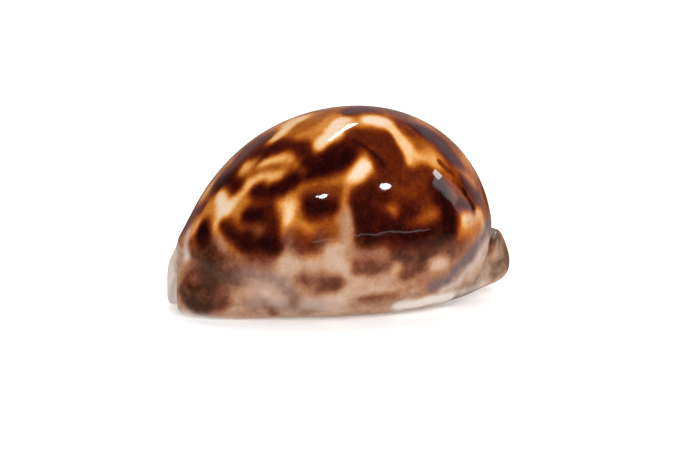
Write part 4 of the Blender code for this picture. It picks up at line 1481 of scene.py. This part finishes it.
@dataclass
class CowrieShell:
    """The shell itself, in place of the plain solid."""

    view: PhotoView
    form: CowrieForm = field(default_factory=CowrieForm)
    teeth: ToothRelief = field(default_factory=ToothRelief)
    finish: EnamelFinish = field(default_factory=EnamelFinish)

    def build(self) -> tuple[bpy.types.Object, Brush]:
        """Build the shell, and return it with the brush that knows its surface."""
        sheet = ShellSheet(self.form)
        mesh = sheet.mesh("cowrie")
        brush = Brush(sheet, mesh, self.view)
        brush.paint()
        brush.store(mesh)
        self.teeth.mark(sheet, mesh)
        shell = bpy.data.objects.new("cowrie", mesh)
        bpy.context.scene.collection.objects.link(shell)
        self.teeth.raise_on(shell, self.finish.make())
        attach(shell, "root")
        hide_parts(SHELL_NODE)
        log.info("%s: %d faces", shell.name, len(shell.data.polygons))
        return shell, brush


@dataclass(frozen=True)
class SoftLight:
    """A studio light, placed where the shell mirrors it at a place in the photograph.

    Attributes:
        name: What it is.
        glint: Place in the photograph where its reflection is.
        distance: Distance from the shell.
        size: Width and height.
        power: Watts.
        spin: Degrees that it is turned about its own axis.
        mirrored: Whether the gloss shows it.
        round: Whether it is an ellipse, and not a rectangle.
    """

    name: str
    glint: tuple[float, float]
    distance: float
    size: tuple[float, float]
    power: float
    spin: float = 0.0
    mirrored: bool = True
    round: bool = False

    def make(self, brush: Brush) -> bpy.types.Object:
        """Make the light, facing the shell."""
        ray = brush.view.ray(self.glint)
        place, normal, _, _ = brush.tree.ray_cast(brush.eye, ray)
        mirrored = ray.reflect(normal)
        data = bpy.data.lights.new(self.name, "AREA")
        data.shape = "ELLIPSE" if self.round else "RECTANGLE"
        data.size, data.size_y = self.size
        data.energy = self.power
        light = bpy.data.objects.new(self.name, data)
        light.location = place + mirrored * self.distance
        light.rotation_mode = "QUATERNION"
        facing = (-mirrored).to_track_quat("-Z", "Y")
        light.rotation_quaternion = facing @ Quaternion((0.0, 0.0, 1.0), math.radians(self.spin))
        light.visible_glossy = self.mirrored
        bpy.context.scene.collection.objects.link(light)
        return light


LIGHTS = (
    SoftLight("overhead softbox", (350, 112), 1.3, (1.5, 1.5), 16.0, mirrored=False),
    SoftLight("front softbox", (330, 215), 1.5, (1.2, 1.2), 9.0, mirrored=False),
    SoftLight("side softbox", (455, 225), 1.4, (1.0, 1.0), 4.0, mirrored=False),
    SoftLight("upper strip", (341, 131), 0.9, (0.035, 0.42), 1.3, spin=-16.0),
    SoftLight("small lamp", (385, 188), 0.7, (0.08, 0.07), 0.7, round=True),
    SoftLight("second small lamp", (324, 196), 0.7, (0.05, 0.035), 0.3, spin=30.0, round=True),
    SoftLight("third small lamp", (317, 197), 0.7, (0.03, 0.018), 0.1, round=True),
    SoftLight("window", (457, 199), 1.0, (0.30, 0.80), 0.75, spin=26.0),
    SoftLight("low strip", (420, 232), 0.9, (3.20, 0.016), 0.36, spin=-8.0),
    SoftLight("window's middle", (446, 189), 1.0, (0.17, 0.40), 0.25, spin=20.0),
    SoftLight("window's bright head", (437, 174), 1.0, (0.10, 0.10), 0.35),
)


@dataclass(frozen=True)
class Studio:
    """Pale floor before a white backdrop, in a room that is dark in the shell's gloss."""

    floor_radius: float = 3.0
    floor_corners: int = 96
    floor_gap: float = 0.05 * MM
    floor_colour: Colour = (0.90, 0.90, 0.90)
    floor_roughness: float = 0.8
    floor_gloss: float = 0.1
    floor_glow: float = 0.25
    pool_colour: Colour = (0.42, 0.38, 0.37)
    pool: tuple[float, float] = (0.05, 0.28)
    backdrop: Colour = (1.0, 1.0, 1.0)
    backdrop_sheen: Colour = (0.27, 0.25, 0.25)
    backdrop_spread: tuple[float, float] = (0.30, 0.90)
    room: Colour = (0.030, 0.026, 0.028)
    fill: float = 0.55

    def floor(self) -> bpy.types.Object:
        """Make the floor, which the shell mirrors only where the light pools round it."""
        bpy.ops.mesh.primitive_circle_add(
            vertices=self.floor_corners, radius=self.floor_radius, fill_type="NGON",
            location=(0.0, 0.0, -self.floor_gap))
        floor = bpy.context.object
        floor.name = "floor"
        material = bpy.data.materials.new("pale_floor")
        material.use_nodes = True
        graph = Graph(material.node_tree)
        surface = material.node_tree.nodes["Principled BSDF"]
        graph.fill(surface, {
            "Base Color": (*self.floor_colour, 1.0),
            "Roughness": self.floor_roughness,
            "Specular IOR Level": self.floor_gloss,
            "Emission Color": (1.0, 1.0, 1.0, 1.0),
            "Emission Strength": self.floor_glow,
        })
        place = graph.add("ShaderNodeTexCoord", output="Object")
        reach = graph.add("ShaderNodeVectorMath", {"operation": "LENGTH"}, {0: place}, "Value")
        pooled = graph.blend(graph.step(reach, *self.pool), self.pool_colour, self.room)
        mirrored = graph.add("ShaderNodeEmission", None, {"Color": pooled, "Strength": 1.0})
        gloss = graph.add("ShaderNodeLightPath", output="Is Glossy Ray")
        seen = graph.add(
            "ShaderNodeMixShader", None, {0: gloss, 1: graph.value(surface), 2: mirrored})
        graph.fill(material.node_tree.nodes["Material Output"], {"Surface": seen})
        floor.data.materials.append(material)
        return floor

    def world(self, view: PhotoView) -> bpy.types.World:
        """Make the surroundings: white behind the shell, and dark elsewhere in its gloss."""
        world = bpy.data.worlds.new("studio")
        world.use_nodes = True
        graph = Graph(world.node_tree)
        path = graph.node("ShaderNodeLightPath")
        direction = graph.add("ShaderNodeTexCoord", output="Generated")
        facing = graph.add(
            "ShaderNodeVectorMath", {"operation": "DOT_PRODUCT"},
            {0: direction, 1: tuple(-view.back())}, "Value")
        gloss = graph.blend(
            graph.step(facing, *self.backdrop_spread), self.room, self.backdrop_sheen)
        fill = (self.fill, self.fill, self.fill)
        soft = graph.blend(graph.value(path, "Is Diffuse Ray"), gloss, fill)
        shown = graph.blend(graph.value(path, "Is Camera Ray"), soft, self.backdrop)
        graph.fill(world.node_tree.nodes["Background"], {"Color": shown})
        bpy.context.scene.world = world
        return world

    def build(self, brush: Brush) -> None:
        """Make the floor, the surroundings and the lights."""
        self.floor()
        self.world(brush.view)
        for light in LIGHTS:
            light.make(brush)
        bpy.context.scene.view_settings.view_transform = "Standard"
        log.info("studio with %d lights", len(LIGHTS))


def main() -> None:
    """Load the frame, build the shell and light it."""
    logging.basicConfig(level=logging.INFO, format="%(message)s")
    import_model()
    view = PhotoView()
    view.make()
    _, brush = CowrieShell(view).build()
    Studio().build(brush)


if __name__ == "__main__":
    main()
